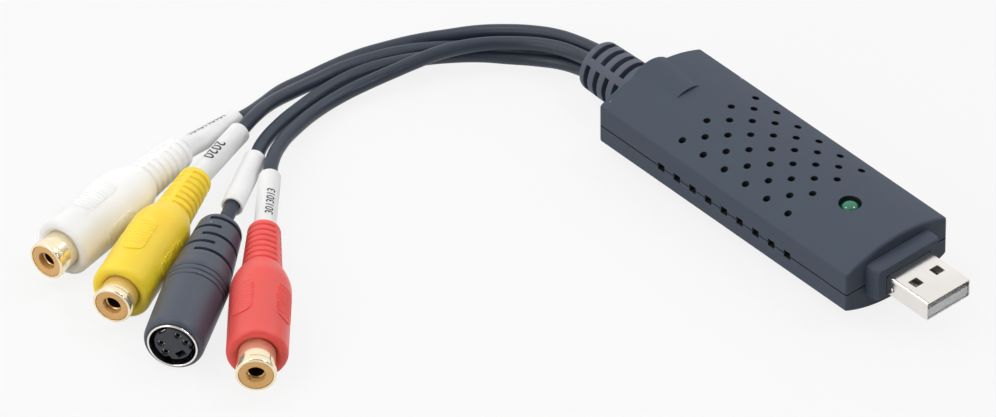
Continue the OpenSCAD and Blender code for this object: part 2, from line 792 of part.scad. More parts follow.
// Puts a socket, drawn with its rim at the origin and its axis along +Z, in its place
module at_socket(socket) {
    translate(socket[0]) rotate(socket[1]) rotate([0, 90, 0]) rotate(socket[2]) children();
}

// Ring with a rectangular section, from z on
module ring(inner, outer, z, h) {
    translate([0, 0, z]) difference() {
        cylinder(r = outer, h = h);
        translate([0, 0, -cut]) cylinder(r = inner, h = h + 2 * cut);
    }
}

// Moulded body of a phono socket: rounded front, grip pads, bent shoulder and ribbed tail
module phono_body(socket, tint) {
    r = phono_d / 2;
    tail_r = tail_d / 2;
    end_r = tail_end_d / 2;
    front = phono_len - socket[4];
    back = -socket[4];
    front_round = 1.1;
    bore = neck_d / 2 + seat;
    bottom = -barrel_len - seat;
    shoulder_bend = 1.65;
    shoulder_steps = 6;
    tail = front - phono_shoulder - shoulder_len;
    tail_first = 0.2;
    tail_round = 0.6;
    color(tint) at_socket(socket) {
        difference() {
            rotate_extrude() polygon(concat(
                [[0, bottom], [bore, bottom], [bore, front]],
                [for (a = [0 : 15 : 90]) [r - front_round * (1 - sin(a)), front - front_round * (1 - cos(a))]],
                [for (i = [0 : shoulder_steps]) let (x = i / shoulder_steps)
                    [r - (r - tail_r) * pow(x, shoulder_bend), front - phono_shoulder - shoulder_len * x]],
                [[end_r, back + tail_round], [end_r - tail_round, back], [0, back]]));
            for (i = [0 : tail_grooves - 1]) {
                z = tail - tail_first - i * tail_pitch - tail_groove;
                groove_r = tail_r + (end_r - tail_r) * (z - tail) / (back - tail) - tail_depth;
                difference() {
                    ring(groove_r, tail_d, z, tail_groove);
                    translate([-tail_d, -tail_spine / 2, z - cut])
                        cube([2 * tail_d, tail_spine, tail_groove + 2 * cut]);
                }
            }
        }
        translate([0, 0, front]) phono_pads(r);
    }
}

// Four raised grip pads with fine cross ribs
module phono_pads(r) {
    corner = 2;
    rib_pitch = pad_len / (pad_ribs + 0.5);
    base = 0.15;
    difference() {
        intersection() {
            ring(r - base, r + pad_rise, -pad_setback - pad_len, 2 * pad_len);
            for (turn = [0 : 90 : 270]) rotate(turn)
                translate([0, 0, -pad_setback]) rotate([0, 90, 0]) linear_extrude(2 * r)
                    rounded_rect(pad_len, pad_w, corner);
        }
        for (i = [1 : pad_ribs - 1])
            ring(r + pad_rise / 3, 2 * r, -pad_setback + (i - pad_ribs / 2) * rib_pitch - rib_pitch / 4,
                 rib_pitch / 2);
    }
}

// Plated barrel of a phono socket with its rim
module phono_barrel(socket) {
    edge = 0.25;
    inner = neck_d / 2 - barrel_t;
    deep = -barrel_len;
    color(GOLD) at_socket(socket) rotate_extrude() polygon([
        [inner, deep], [neck_d / 2, deep], [neck_d / 2, -rim_len - edge], [rim_d / 2, -rim_len],
        [rim_d / 2, -edge], [rim_d / 2 - edge, 0], [inner, 0]]);
}

// Insulating plug in the barrel, with the passage for the pin
module phono_insulator(socket) {
    outer = neck_d / 2 - barrel_t - seat;
    guide_r = contact_bore / 2 + 0.3;
    guide = 1.5;
    face = 0.15;
    contact_r = contact_bore / 2 + contact_t + seat;
    deep = -barrel_len + seat;
    color(TAN) at_socket(socket) rotate_extrude() polygon([
        [contact_r, deep], [outer, deep], [outer, -face], [guide_r, -face], [guide_r, -guide],
        [contact_r, -guide]]);
}

// Centre contact: a sprung tube with a closed end
module phono_contact(socket) {
    r = contact_bore / 2;
    front = -1.5 - seat;
    deep = -barrel_len + seat;
    end_t = 1;
    color(GOLD) at_socket(socket) rotate_extrude() polygon([
        [0, deep], [r + contact_t, deep], [r + contact_t, front], [r, front], [r, deep + end_t],
        [0, deep + end_t]]);
}

module white_jack_body() {
    phono_body(WHITE, MILK);
}

module white_jack_barrel() {
    phono_barrel(WHITE);
}

module white_jack_insulator() {
    phono_insulator(WHITE);
}

module white_jack_contact() {
    phono_contact(WHITE);
}

module yellow_jack_body() {
    phono_body(YELLOW, LEMON);
}

module yellow_jack_barrel() {
    phono_barrel(YELLOW);
}

module yellow_jack_insulator() {
    phono_insulator(YELLOW);
}

module yellow_jack_contact() {
    phono_contact(YELLOW);
}

module red_jack_body() {
    phono_body(RED, CORAL);
}

module red_jack_barrel() {
    phono_barrel(RED);
}

module red_jack_insulator() {
    phono_insulator(RED);
}

module red_jack_contact() {
    phono_contact(RED);
}

// Stations of the mini-DIN body, measured back from its front
din_front_round = 1.6;
din_front_in = 0.72;
din_waist = 19;
din_tail = 22;
din_end_round = 0.8;
din_waist_rings = [15.2, 16.6, 18];
din_ring_groove = 0.35;
din_ring_out = 0.5;
din_core_back = 0.1;

// Moulded body of the mini-DIN socket: waist rings and a tail slotted from both sides
module svideo_jack_body() {
    bore = din_ring_d / 2 + seat;
    deep = -din_depth - 2;
    color(SHELL) at_socket(SVIDEO) difference() {
        rotate_extrude() polygon(concat(
            [[0, deep], [bore, deep], [bore, 0]],
            [for (a = [0 : 15 : 90])
                [din_front_d / 2 - din_front_in * (1 - sin(a)), -din_front_round * (1 - cos(a))]],
            [[din_d / 2, -din_waist], [din_tail_d / 2, -din_tail],
             [din_tail_end_d / 2, -din_len + din_end_round],
             [din_tail_end_d / 2 - din_end_round, -din_len], [0, -din_len]]));
        for (s = din_waist_rings)
            ring(din_front_d / 2 - din_ring_groove / 2, din_d, -s - din_ring_groove / 2, din_ring_groove);
        for (i = [0 : din_slots - 1]) {
            s = din_tail + 1.2 + i * din_slot_pitch;
            share = (s - din_tail) / (din_len - din_tail);
            r = din_tail_d / 2 + (din_tail_end_d - din_tail_d) / 2 * share;
            intersection() {
                ring(r - din_slot_depth, din_d, -s - din_slot, din_slot);
                translate([-din_d, i % 2 == 0 ? -r * 0.3 : -din_d, -s - 2 * din_slot])
                    cube([2 * din_d, din_d + r * 0.3, 4 * din_slot]);
            }
        }
    }
}

// Metal ring that takes the plug's shield
module svideo_jack_ring() {
    color(NICKEL) at_socket(SVIDEO)
        ring(din_ring_bore / 2, din_ring_d / 2, -din_depth - 2 + seat, din_depth + 2 - seat + din_ring_out);
}

// Places of the contacts on the core: angle and distance from the middle, and a contact's wall
din_contacts = [[30, 2.5], [150, 2.5], [198.5, 2.8], [341.5, 2.8]];
din_contact_t = 0.12;

module din_contact_places() {
    for (contact = din_contacts) rotate(contact[0]) translate([contact[1], 0, 0]) children();
}

// Core with four contact holes, a key slot and three rim notches, given as angle and width
module svideo_jack_core() {
    base_t = 2 - seat;
    key = [2.1, 1.3];
    key_place = 2.65;
    notches = [[90, 1.9], [218, 0.9], [322, 0.9]];
    notch_depth = 0.6;
    contact_r = din_contact_bore / 2 + din_contact_t + seat;
    color([0.07, 0.08, 0.10]) at_socket(SVIDEO) rotate(DIN_TURN) difference() {
        union() {
            translate([0, 0, -din_depth]) cylinder(d = din_core_d, h = din_depth - din_core_back);
            translate([0, 0, -din_depth - base_t]) cylinder(d = din_ring_bore - 2 * seat, h = base_t);
        }
        din_contact_places()
            translate([0, 0, -din_depth]) cylinder(r = contact_r, h = din_depth + cut, $fn = 24);
        translate([-key.x / 2, -key_place - key.y / 2, -din_depth])
            cube([key.x, key.y, din_depth + cut]);
        for (notch = notches) rotate(notch[0])
            translate([din_core_d / 2 - notch_depth, -notch[1] / 2, -din_depth])
                cube([2 * notch_depth, notch[1], din_depth + cut]);
    }
}

// Four sprung contact tubes in the core
module svideo_jack_contacts() {
    r = din_contact_bore / 2;
    back = 0.5;
    color(NICKEL) at_socket(SVIDEO) rotate(DIN_TURN) din_contact_places()
        ring(r, r + din_contact_t, -din_depth + seat, din_depth - din_core_back - back);
}

top_shell();
bottom_shell();
usb_shell();
usb_insulator();
usb_contacts();
circuit_board();
capture_chip();
audio_chip();
crystal();
capacitors();
led_lens();
led_leads();
strain_relief();
hookup_wires();
white_cord();
yellow_cord();
svideo_cord();
red_cord();
white_sleeve();
yellow_sleeve();
svideo_sleeve();
red_sleeve();
white_jack_body();
white_jack_barrel();
white_jack_insulator();
white_jack_contact();
yellow_jack_body();
yellow_jack_barrel();
yellow_jack_insulator();
yellow_jack_contact();
red_jack_body();
red_jack_barrel();
red_jack_insulator();
red_jack_contact();
svideo_jack_body();
svideo_jack_ring();
svideo_jack_core();
svideo_jack_contacts();
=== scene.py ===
# Video capture box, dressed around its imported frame.
# The camera comes first. The file then follows the object as it is put together: leads, board,
# housing, plug, lamp, boot, sockets and sleeves. The table and the lights come last.

import json
import math

import bpy
from mathutils import Matrix, Vector

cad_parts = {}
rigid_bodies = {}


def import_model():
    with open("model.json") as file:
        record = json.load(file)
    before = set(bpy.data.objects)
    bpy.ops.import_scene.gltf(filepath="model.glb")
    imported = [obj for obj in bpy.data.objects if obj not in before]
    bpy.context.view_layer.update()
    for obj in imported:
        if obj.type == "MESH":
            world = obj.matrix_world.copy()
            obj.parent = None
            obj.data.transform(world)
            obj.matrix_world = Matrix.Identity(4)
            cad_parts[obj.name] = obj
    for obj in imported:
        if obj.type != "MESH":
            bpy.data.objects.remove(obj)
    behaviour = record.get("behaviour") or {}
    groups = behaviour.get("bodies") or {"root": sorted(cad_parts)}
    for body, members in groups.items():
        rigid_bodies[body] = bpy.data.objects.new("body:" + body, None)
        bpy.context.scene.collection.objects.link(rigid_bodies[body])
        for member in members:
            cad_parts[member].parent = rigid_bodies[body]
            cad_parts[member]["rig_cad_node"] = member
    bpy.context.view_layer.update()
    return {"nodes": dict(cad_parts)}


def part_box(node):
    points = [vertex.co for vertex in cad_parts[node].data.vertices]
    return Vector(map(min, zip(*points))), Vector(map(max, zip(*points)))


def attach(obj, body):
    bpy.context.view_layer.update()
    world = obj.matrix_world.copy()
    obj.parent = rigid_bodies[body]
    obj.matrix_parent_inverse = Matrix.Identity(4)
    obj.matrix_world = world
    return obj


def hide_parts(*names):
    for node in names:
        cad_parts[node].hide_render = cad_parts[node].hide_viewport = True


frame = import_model()
nodes = frame["nodes"]
scene = bpy.context.scene
scene.view_settings.view_transform = "Standard"
MM = 0.001


# Camera: a long lens from above and to the front, at the photograph's viewing angle.
# It aims at the middle of the frame, on the height of the housing's parting plane.
photo_width_px = 996
focal_px = 12000
view_azimuth = math.radians(48.56)
view_elevation = math.radians(39.43)
view_roll = math.radians(-0.5)
view_distance = 2.4247
view_aim = Vector((-0.0301, -0.0471, 0.00735))

toward_camera = Vector((
    math.sin(view_azimuth) * math.cos(view_elevation),
    -math.cos(view_azimuth) * math.cos(view_elevation),
    math.sin(view_elevation),
))
camera_data = bpy.data.cameras.new("camera")
camera_data.sensor_width = 36.0
camera_data.lens = focal_px / photo_width_px * camera_data.sensor_width
camera_data.clip_start = 0.1
camera_data.clip_end = 20.0
camera = bpy.data.objects.new("camera", camera_data)
scene.collection.objects.link(camera)
camera.rotation_mode = "QUATERNION"
camera.location = view_aim + toward_camera * view_distance
level_view = (-toward_camera).to_track_quat("-Z", "Y")
camera.rotation_quaternion = level_view @ Matrix.Rotation(view_roll, 3, "Z").to_quaternion()
scene.camera = camera


# Leads: four round PVC cables, each a smooth curve from the boot to the back of its socket.
# They leave the boot two over two, straighten, and fan out along the table.
# The jackets are extruded, so they are smooth and a little shiny, with faint handling marks.
def shader_group(name, inputs, outputs):
    """An empty shader node group with float inputs and named outputs."""
    group = bpy.data.node_groups.new(name, "ShaderNodeTree")
    for label, default in inputs:
        socket = group.interface.new_socket(label, in_out="INPUT", socket_type="NodeSocketFloat")
        socket.default_value = default
    for label in outputs:
        group.interface.new_socket(label, in_out="OUTPUT", socket_type="NodeSocketFloat")
    return group, group.nodes.new("NodeGroupInput"), group.nodes.new("NodeGroupOutput")


def moulded_grain_group():
    """Fine grain, soft mottling and rare dust specks of a moulded or extruded plastic."""
    group, given, out = shader_group(
        "moulded_grain",
        [("Grain Scale", 5000.0), ("Mottle Scale", 120.0), ("Speck Scale", 260.0)],
        ["Grain", "Mottle", "Specks"],
    )
    place = group.nodes.new("ShaderNodeTexCoord")
    grain = group.nodes.new("ShaderNodeTexNoise")
    grain.inputs["Detail"].default_value = 3.0
    mottle = group.nodes.new("ShaderNodeTexNoise")
    mottle.inputs["Detail"].default_value = 4.0
    mottle.inputs["Roughness"].default_value = 0.6
    cells = group.nodes.new("ShaderNodeTexVoronoi")
    near = group.nodes.new("ShaderNodeMapRange")
    near.inputs["From Min"].default_value = 0.10
    near.inputs["From Max"].default_value = 0.04
    chance = group.nodes.new("ShaderNodeSeparateColor")
    rare = group.nodes.new("ShaderNodeMath")
    rare.operation = "GREATER_THAN"
    rare.inputs[1].default_value = 0.86
    both = group.nodes.new("ShaderNodeMath")
    both.operation = "MULTIPLY"
    join = group.links.new
    scaled = ((grain, "Grain Scale"), (mottle, "Mottle Scale"), (cells, "Speck Scale"))
    for texture, label in scaled:
        join(place.outputs["Object"], texture.inputs["Vector"])
        join(given.outputs[label], texture.inputs["Scale"])
    join(cells.outputs["Distance"], near.inputs["Value"])
    join(cells.outputs["Color"], chance.inputs["Color"])
    join(chance.outputs["Red"], rare.inputs[0])
    join(near.outputs["Result"], both.inputs[0])
    join(rare.outputs["Value"], both.inputs[1])
    join(grain.outputs["Fac"], out.inputs["Grain"])
    join(mottle.outputs["Fac"], out.inputs["Mottle"])
    join(both.outputs["Value"], out.inputs["Specks"])
    return group


moulded_grain = moulded_grain_group()


def principled(name):
    """A new material with its node tree and shader."""
    made = bpy.data.materials.new(name)
    made.use_nodes = True
    return made, made.node_tree, made.node_tree.nodes["Principled BSDF"]


def ranged(tree, source, low, high):
    """A value that runs from low to high as source runs over a noise's usual span."""
    scale = tree.nodes.new("ShaderNodeMapRange")
    scale.inputs["From Min"].default_value = 0.3
    scale.inputs["From Max"].default_value = 0.7
    scale.inputs["To Min"].default_value = low
    scale.inputs["To Max"].default_value = high
    tree.links.new(source, scale.inputs["Value"])
    return scale.outputs["Result"]


def mixed(tree, factor, first, second):
    """A colour between first and second; each is a colour or a socket."""
    mix = tree.nodes.new("ShaderNodeMix")
    mix.data_type = "RGBA"
    tree.links.new(factor, mix.inputs["Factor"])
    for colour, socket in ((first, mix.inputs[6]), (second, mix.inputs[7])):
        if isinstance(colour, bpy.types.NodeSocket):
            tree.links.new(colour, socket)
        else:
            socket.default_value = (*colour, 1.0)
    return mix.outputs[2]


def shaded(colour, share):
    """The colour made darker or lighter by a share."""
    return tuple(min(1.0, channel * share) for channel in colour)


def bumped(tree, shader, height, depth_mm):
    """Puts a height of the given depth into the shader's surface."""
    bump = tree.nodes.new("ShaderNodeBump")
    bump.inputs["Strength"].default_value = 1.0
    bump.inputs["Distance"].default_value = depth_mm * MM
    tree.links.new(height, bump.inputs["Height"])
    tree.links.new(bump.outputs["Normal"], shader.inputs["Normal"])


def moulded_plastic(
    name, colour, roughness, grain_mm, depth_mm, mottle=0.06, specks=0.0, sheen=0.5, soft_mm=()
):
    """Moulded plastic: grain, uneven colour and gloss, some dust, and light that sinks in."""
    dust = (0.60, 0.62, 0.65)
    gloss_swing = 0.05
    sinking_share = 0.85
    made, tree, shader = principled(name)
    grain = tree.nodes.new("ShaderNodeGroup")
    grain.node_tree = moulded_grain
    grain.inputs["Grain Scale"].default_value = 1.0 / (grain_mm * MM)
    tone = ranged(tree, grain.outputs["Mottle"], 0.0, 1.0)
    base = mixed(tree, tone, shaded(colour, 1.0 - mottle), shaded(colour, 1.0 + mottle))
    if specks:
        dusty = ranged(tree, grain.outputs["Specks"], 0.0, specks)
        base = mixed(tree, dusty, base, dust)
    tree.links.new(base, shader.inputs["Base Color"])
    tree.links.new(
        ranged(tree, grain.outputs["Mottle"], roughness - gloss_swing, roughness + gloss_swing),
        shader.inputs["Roughness"],
    )
    shader.inputs["Specular IOR Level"].default_value = sheen
    bumped(tree, shader, grain.outputs["Grain"], depth_mm)
    if soft_mm:
        shader.inputs["Subsurface Weight"].default_value = sinking_share
        shader.inputs["Subsurface Radius"].default_value = soft_mm
        shader.inputs["Subsurface Scale"].default_value = MM
    return made


lead_d = 0.003
lead_colour = (0.020, 0.030, 0.052)
lead_jacket = moulded_plastic(
    "lead_jacket", lead_colour, 0.42, 0.5, 0.006, mottle=0.08, specks=0.25
)

lead_routes = {
    "white": [
        (-0.0524, 0.00165, 0.0079), (-0.056, 0.0016, 0.0073), (-0.060, 0.001, 0.0069),
        (-0.0645, 0.0, 0.0063), (-0.0695, -0.002, 0.0054), (-0.0745, -0.005, 0.0044),
        (-0.0795, -0.009, 0.0033), (-0.0835, -0.0135, 0.0023), (-0.087, -0.0185, 0.0017),
        (-0.0895, -0.0245, 0.0016), (-0.0915, -0.031, 0.0016), (-0.0925, -0.0375, 0.0016),
        (-0.093, -0.044, 0.0016), (-0.0935, -0.050, 0.0016), (-0.0925, -0.056, 0.0019),
        (-0.0915, -0.0605, 0.0025),
    ],
    "yellow": [
        (-0.0524, 0.00165, 0.0046), (-0.056, 0.0016, 0.0039), (-0.060, 0.001, 0.0035),
        (-0.0645, -0.0005, 0.0028), (-0.0695, -0.0035, 0.0021), (-0.0745, -0.008, 0.0017),
        (-0.079, -0.013, 0.0017), (-0.083, -0.0185, 0.002), (-0.086, -0.0245, 0.0024),
        (-0.088, -0.0305, 0.0027), (-0.0895, -0.037, 0.0028), (-0.090, -0.0435, 0.0029),
        (-0.090, -0.050, 0.0035), (-0.089, -0.057, 0.0048), (-0.087, -0.063, 0.0059),
    ],
    "svideo": [
        (-0.0524, -0.00165, 0.0046), (-0.056, -0.0018, 0.0039), (-0.060, -0.0028, 0.0034),
        (-0.0645, -0.0052, 0.0029), (-0.0695, -0.009, 0.0026), (-0.074, -0.013, 0.0026),
        (-0.078, -0.018, 0.0027), (-0.081, -0.023, 0.0029), (-0.0835, -0.028, 0.003),
        (-0.0855, -0.0335, 0.003), (-0.0865, -0.039, 0.0028), (-0.0865, -0.045, 0.0027),
        (-0.0855, -0.052, 0.0029), (-0.0835, -0.0595, 0.0036), (-0.0805, -0.0665, 0.0044),
    ],
    "red": [
        (-0.0524, -0.00165, 0.0079), (-0.056, -0.0018, 0.0073), (-0.060, -0.0027, 0.007),
        (-0.0645, -0.0048, 0.0066), (-0.0685, -0.0078, 0.0062), (-0.0725, -0.012, 0.006),
        (-0.0755, -0.017, 0.0059), (-0.0775, -0.0215, 0.0056), (-0.079, -0.026, 0.005),
        (-0.0805, -0.031, 0.0042), (-0.082, -0.0365, 0.0034), (-0.083, -0.043, 0.0028),
        (-0.0825, -0.050, 0.003), (-0.0805, -0.057, 0.0039), (-0.0775, -0.064, 0.005),
        (-0.073, -0.0705, 0.006),
    ],
}
# Each socket's rim, its direction in the plan, its roll, its length, and the gap to its sleeve
phono_length = 0.0389
mini_din_length = 0.037
sleeve_length = 0.0174
sockets = {
    "white": (Vector((-0.0794, -0.125, 0.00655)), -78.7, 4, phono_length + 0.0049, 0.0006),
    "yellow": (Vector((-0.05985, -0.1243, 0.00655)), -63.8, 7, phono_length + 0.0043, 0.0005),
    "svideo": (Vector((-0.0425, -0.123, 0.00655)), -55.7, 0, mini_din_length, 0.0084),
    "red": (Vector((-0.0242, -0.1169, 0.00655)), -43, -57, phono_length + 0.0061, 0.0004),
}


def straight_run(name):
    """The straight end of a lead: the sleeve's upper end and the back of the socket."""
    rim, turn, _, length, gap = sockets[name]
    pointing = Vector((math.cos(math.radians(turn)), math.sin(math.radians(turn)), 0.0))
    back = rim - pointing * length
    last = Vector(lead_routes[name][-1])
    return back + (last - back).normalized() * (gap + sleeve_length), back


def lead_curve(name):
    """A lead along its route, as one open curve with a round section."""
    curve = bpy.data.curves.new(name + "_lead", "CURVE")
    curve.dimensions = "3D"
    curve.resolution_u = 8
    curve.bevel_depth = lead_d / 2
    curve.bevel_resolution = 6
    curve.use_fill_caps = True
    path = [Vector(point) for point in lead_routes[name]] + list(straight_run(name))
    spline = curve.splines.new("BEZIER")
    spline.bezier_points.add(len(path) - 1)
    for knot, point in zip(spline.bezier_points, path):
        knot.co = point
        knot.handle_left_type = "AUTO"
        knot.handle_right_type = "AUTO"
    lead = bpy.data.objects.new(name + "_lead", curve)
    scene.collection.objects.link(lead)
    return lead


def fitted(piece, body, slot, material, *replaced):
    """Gives a piece its material and its body, and hides the CAD nodes that it stands for. The slot
    is not used.
    """
    piece.data.materials.clear()
    piece.data.materials.append(material)
    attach(piece, body)
    if replaced:
        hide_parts(*replaced)


leads = {name: lead_curve(name) for name in lead_routes}
for name, lead in leads.items():
    fitted(lead, "box", "cord_rubber", lead_jacket, name + "_cord")


# Circuit board: green glass fibre with copper lines under its lacquer, chips, cans, a crystal
# and wires. It is soldered to the plug and stands on four posts, out of sight behind the vents.
# The CAD solids stay as they are and get their finishes here.
def plating_group():
    """Fine scratches and soft smears of bare or plated metal."""
    group, given, out = shader_group(
        "plating", [("Scratch Scale", 700.0), ("Smear Scale", 110.0)], ["Scratches", "Smears"]
    )
    place = group.nodes.new("ShaderNodeTexCoord")
    drawn_out = group.nodes.new("ShaderNodeMapping")
    drawn_out.inputs["Scale"].default_value = (0.12, 1.0, 1.0)
    scratches = group.nodes.new("ShaderNodeTexNoise")
    scratches.inputs["Detail"].default_value = 5.0
    scratches.inputs["Roughness"].default_value = 0.7
    smears = group.nodes.new("ShaderNodeTexNoise")
    smears.inputs["Detail"].default_value = 3.0
    join = group.links.new
    join(place.outputs["Object"], drawn_out.inputs["Vector"])
    join(drawn_out.outputs["Vector"], scratches.inputs["Vector"])
    join(given.outputs["Scratch Scale"], scratches.inputs["Scale"])
    join(place.outputs["Object"], smears.inputs["Vector"])
    join(given.outputs["Smear Scale"], smears.inputs["Scale"])
    join(scratches.outputs["Fac"], out.inputs["Scratches"])
    join(smears.outputs["Fac"], out.inputs["Smears"])
    return group


plating = plating_group()


def plated_metal(name, colour, roughness, scratch_mm, mirror=1.0):
    """Plated metal: nearly even colour, smeared gloss, fine scratches, and a satin share."""
    smear = 0.05
    made, tree, shader = principled(name)
    worn = tree.nodes.new("ShaderNodeGroup")
    worn.node_tree = plating
    tone = ranged(tree, worn.outputs["Smears"], 0.0, 1.0)
    base = mixed(tree, tone, shaded(colour, 1.0 - smear), shaded(colour, 1.0 + smear / 2))
    tree.links.new(base, shader.inputs["Base Color"])
    shader.inputs["Metallic"].default_value = mirror
    gloss = ranged(tree, worn.outputs["Smears"], roughness * 0.8, roughness * 1.3)
    tree.links.new(gloss, shader.inputs["Roughness"])
    bumped(tree, shader, worn.outputs["Scratches"], scratch_mm)
    return made


def lacquered_board(name):
    """Green solder mask over copper lines, which stand out a little lighter."""
    made, tree, shader = principled(name)
    place = tree.nodes.new("ShaderNodeTexCoord")
    lines = tree.nodes.new("ShaderNodeTexBrick")
    lines.inputs["Color1"].default_value = (0.012, 0.110, 0.045, 1.0)
    lines.inputs["Color2"].default_value = (0.016, 0.130, 0.055, 1.0)
    lines.inputs["Mortar"].default_value = (0.050, 0.270, 0.110, 1.0)
    lines.inputs["Scale"].default_value = 160.0
    lines.inputs["Mortar Size"].default_value = 0.03
    tree.links.new(place.outputs["Object"], lines.inputs["Vector"])
    tree.links.new(lines.outputs["Color"], shader.inputs["Base Color"])
    shader.inputs["Roughness"].default_value = 0.35
    bumped(tree, shader, lines.outputs["Fac"], 0.03)
    return made


bright_nickel = plated_metal("bright_nickel", (0.86, 0.83, 0.79), 0.18, 0.0004)
gold_plate = plated_metal("gold_plate", (0.97, 0.85, 0.60), 0.12, 0.0006, mirror=0.75)
chip_resin = moulded_plastic("chip_resin", (0.020, 0.020, 0.022), 0.6, 0.2, 0.01)
can_metal = plated_metal("can_metal", (0.72, 0.73, 0.75), 0.3, 0.003)
wire_jacket = moulded_plastic("wire_jacket", (0.50, 0.16, 0.07), 0.4, 0.6, 0.004)
inner_finishes = {
    "circuit_board": lacquered_board("lacquered_board"),
    "capture_chip": chip_resin,
    "audio_chip": chip_resin,
    "crystal": bright_nickel,
    "capacitors": can_metal,
    "hookup_wires": wire_jacket,
    "usb_contacts": gold_plate,
    "led_leads": bright_nickel,
}
for node, finish in inner_finishes.items():
    nodes[node].data.materials.clear()
    nodes[node].data.materials.append(finish)


# Housing: two moulded ABS shells that meet at a shadow line and clip round the board.
# Their outside is spark-eroded to a fine matt, and their inside and hole walls get a near-black
# painted shade.
# The forms come from the CAD solids, with their triangles joined and their curves made smooth.
def only(form):
    """Makes one object the active and only selected one."""
    bpy.ops.object.select_all(action="DESELECT")
    form.select_set(True)
    bpy.context.view_layer.objects.active = form


def softened(form, width_mm, angle=35.0):
    """Small roundings on a form's sharp edges, with flat faces shaded flat and curves smooth."""
    only(form)
    if width_mm:
        bpy.ops.object.modifier_add(type="BEVEL")
        rounding = form.modifiers[-1]
        rounding.width = width_mm * MM
        rounding.segments = 2
        rounding.limit_method = "ANGLE"
        rounding.angle_limit = math.radians(angle)
        bpy.ops.object.modifier_apply(modifier=rounding.name)
    bpy.ops.object.shade_smooth_by_angle(angle=math.radians(angle))
    bpy.ops.object.modifier_add(type="WEIGHTED_NORMAL")
    flatter = form.modifiers[-1]
    flatter.keep_sharp = True
    bpy.ops.object.modifier_apply(modifier=flatter.name)


def refined(node, name, width_mm):
    """A copy of a CAD solid with its flat faces whole, its edges softened and its curves smooth."""
    weld_mm = 0.001
    flat_within = math.radians(0.3)
    only(nodes[node])
    bpy.ops.object.duplicate(linked=False)
    form = bpy.context.object
    form.name = name
    form.data.name = name
    del form["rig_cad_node"]
    form.parent = None
    form.matrix_world = Matrix.Identity(4)
    bpy.ops.mesh.customdata_custom_splitnormals_clear()
    bpy.ops.object.mode_set(mode="EDIT")
    bpy.ops.mesh.select_all(action="SELECT")
    bpy.ops.mesh.remove_doubles(threshold=weld_mm * MM)
    bpy.ops.mesh.dissolve_limited(angle_limit=flat_within)
    bpy.ops.object.mode_set(mode="OBJECT")
    softened(form, width_mm)
    return form


shell_colour = (0.063, 0.079, 0.109)
shell_plastic = moulded_plastic(
    "shell_plastic", shell_colour, 0.62, 0.22, 0.012, mottle=0.04, specks=0.5, sheen=0.22
)
upper_shell = refined("top_shell", "upper_shell", 0.0)
fitted(upper_shell, "box", "shell_plastic", shell_plastic, "top_shell")
lower_shell = refined("bottom_shell", "lower_shell", 0.0)
fitted(lower_shell, "box", "shell_plastic", shell_plastic, "bottom_shell")

# Painted shade: a near-black material for the shells' inside and the walls of their holes and
# slots.
hole_shade_paint = moulded_plastic("hole_shade_paint", (0.010, 0.011, 0.013), 0.75, 0.3, 0.01)
painted_shade_depth = 0.00045
half_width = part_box("top_shell")[1][1]
rear_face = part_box("top_shell")[0][0]
front_face = 0.0374
crest_z = 0.0154
arch_rise = 0.0031
arch_r = (half_width ** 2 + arch_rise ** 2) / (2 * arch_rise)


def depth_inside(point):
    """How far a point of the shells lies below the domed top, the sides and the ends."""
    across = min(abs(point.y), half_width)
    under_top = crest_z - arch_r + math.sqrt(arch_r ** 2 - across ** 2) - point.z
    return min(under_top, half_width - abs(point.y), point.x - rear_face, front_face - point.x)


# Faces that lie deeper inside than that depth, above the arch rise, take the painted shade.
for shell in (upper_shell, lower_shell):
    shell.data.materials.append(hole_shade_paint)
    for face in shell.data.polygons:
        if depth_inside(face.center) > painted_shade_depth and face.center.z > arch_rise:
            face.material_index = 1


# Plug: a folded sheet of nickel-plated steel round a white moulding with four contacts.
# It has two windows above and two below, a seam along one edge and a dimple in each side.
# The sheet starts as a solid block, is hollowed, and is then pierced and dimpled.
def with_edges(form, chosen):
    """Selects the edges that a rule picks from their two ends, ready for edit mode."""
    only(form)
    bpy.context.tool_settings.mesh_select_mode = (False, True, False)
    mesh = form.data
    for part in (mesh.vertices, mesh.edges, mesh.polygons):
        part.foreach_set("select", [False] * len(part))
    for edge in mesh.edges:
        first, second = (mesh.vertices[i].co for i in edge.vertices)
        edge.select = chosen(first, second)
    bpy.ops.object.mode_set(mode="EDIT")


def block(size_mm, middle_mm, corner_mm=0.0, along=0):
    """A block at its size and place, with the four edges along one axis rounded."""
    bpy.ops.object.select_all(action="DESELECT")
    bpy.ops.mesh.primitive_cube_add(size=1.0)
    form = bpy.context.object
    bpy.ops.object.mode_set(mode="EDIT")
    bpy.ops.transform.resize(value=[side * MM for side in size_mm])
    bpy.ops.transform.translate(value=[place * MM for place in middle_mm])
    bpy.ops.object.mode_set(mode="OBJECT")
    if corner_mm:
        with_edges(form, lambda a, b: abs((b - a)[along]) > 0.99 * (b - a).length)
        bpy.ops.mesh.bevel(offset=corner_mm * MM, segments=6, affect="EDGES")
        bpy.ops.object.mode_set(mode="OBJECT")
    return form


def combined(form, other, operation):
    """Joins, cuts or overlaps two closed forms, and uses up the second."""
    only(form)
    bpy.ops.object.modifier_add(type="BOOLEAN")
    step = form.modifiers[-1]
    step.operation = operation
    step.solver = "EXACT"
    step.object = other
    bpy.ops.object.modifier_apply(modifier=step.name)
    bpy.data.objects.remove(other, do_unlink=True)


def ball(radius_mm, middle_mm):
    """A ball that presses a dimple."""
    bpy.ops.object.select_all(action="DESELECT")
    bpy.ops.mesh.primitive_uv_sphere_add(segments=32, ring_count=16, radius=radius_mm * MM)
    bpy.ops.object.mode_set(mode="EDIT")
    bpy.ops.transform.translate(value=[place * MM for place in middle_mm])
    bpy.ops.object.mode_set(mode="OBJECT")
    return bpy.context.object


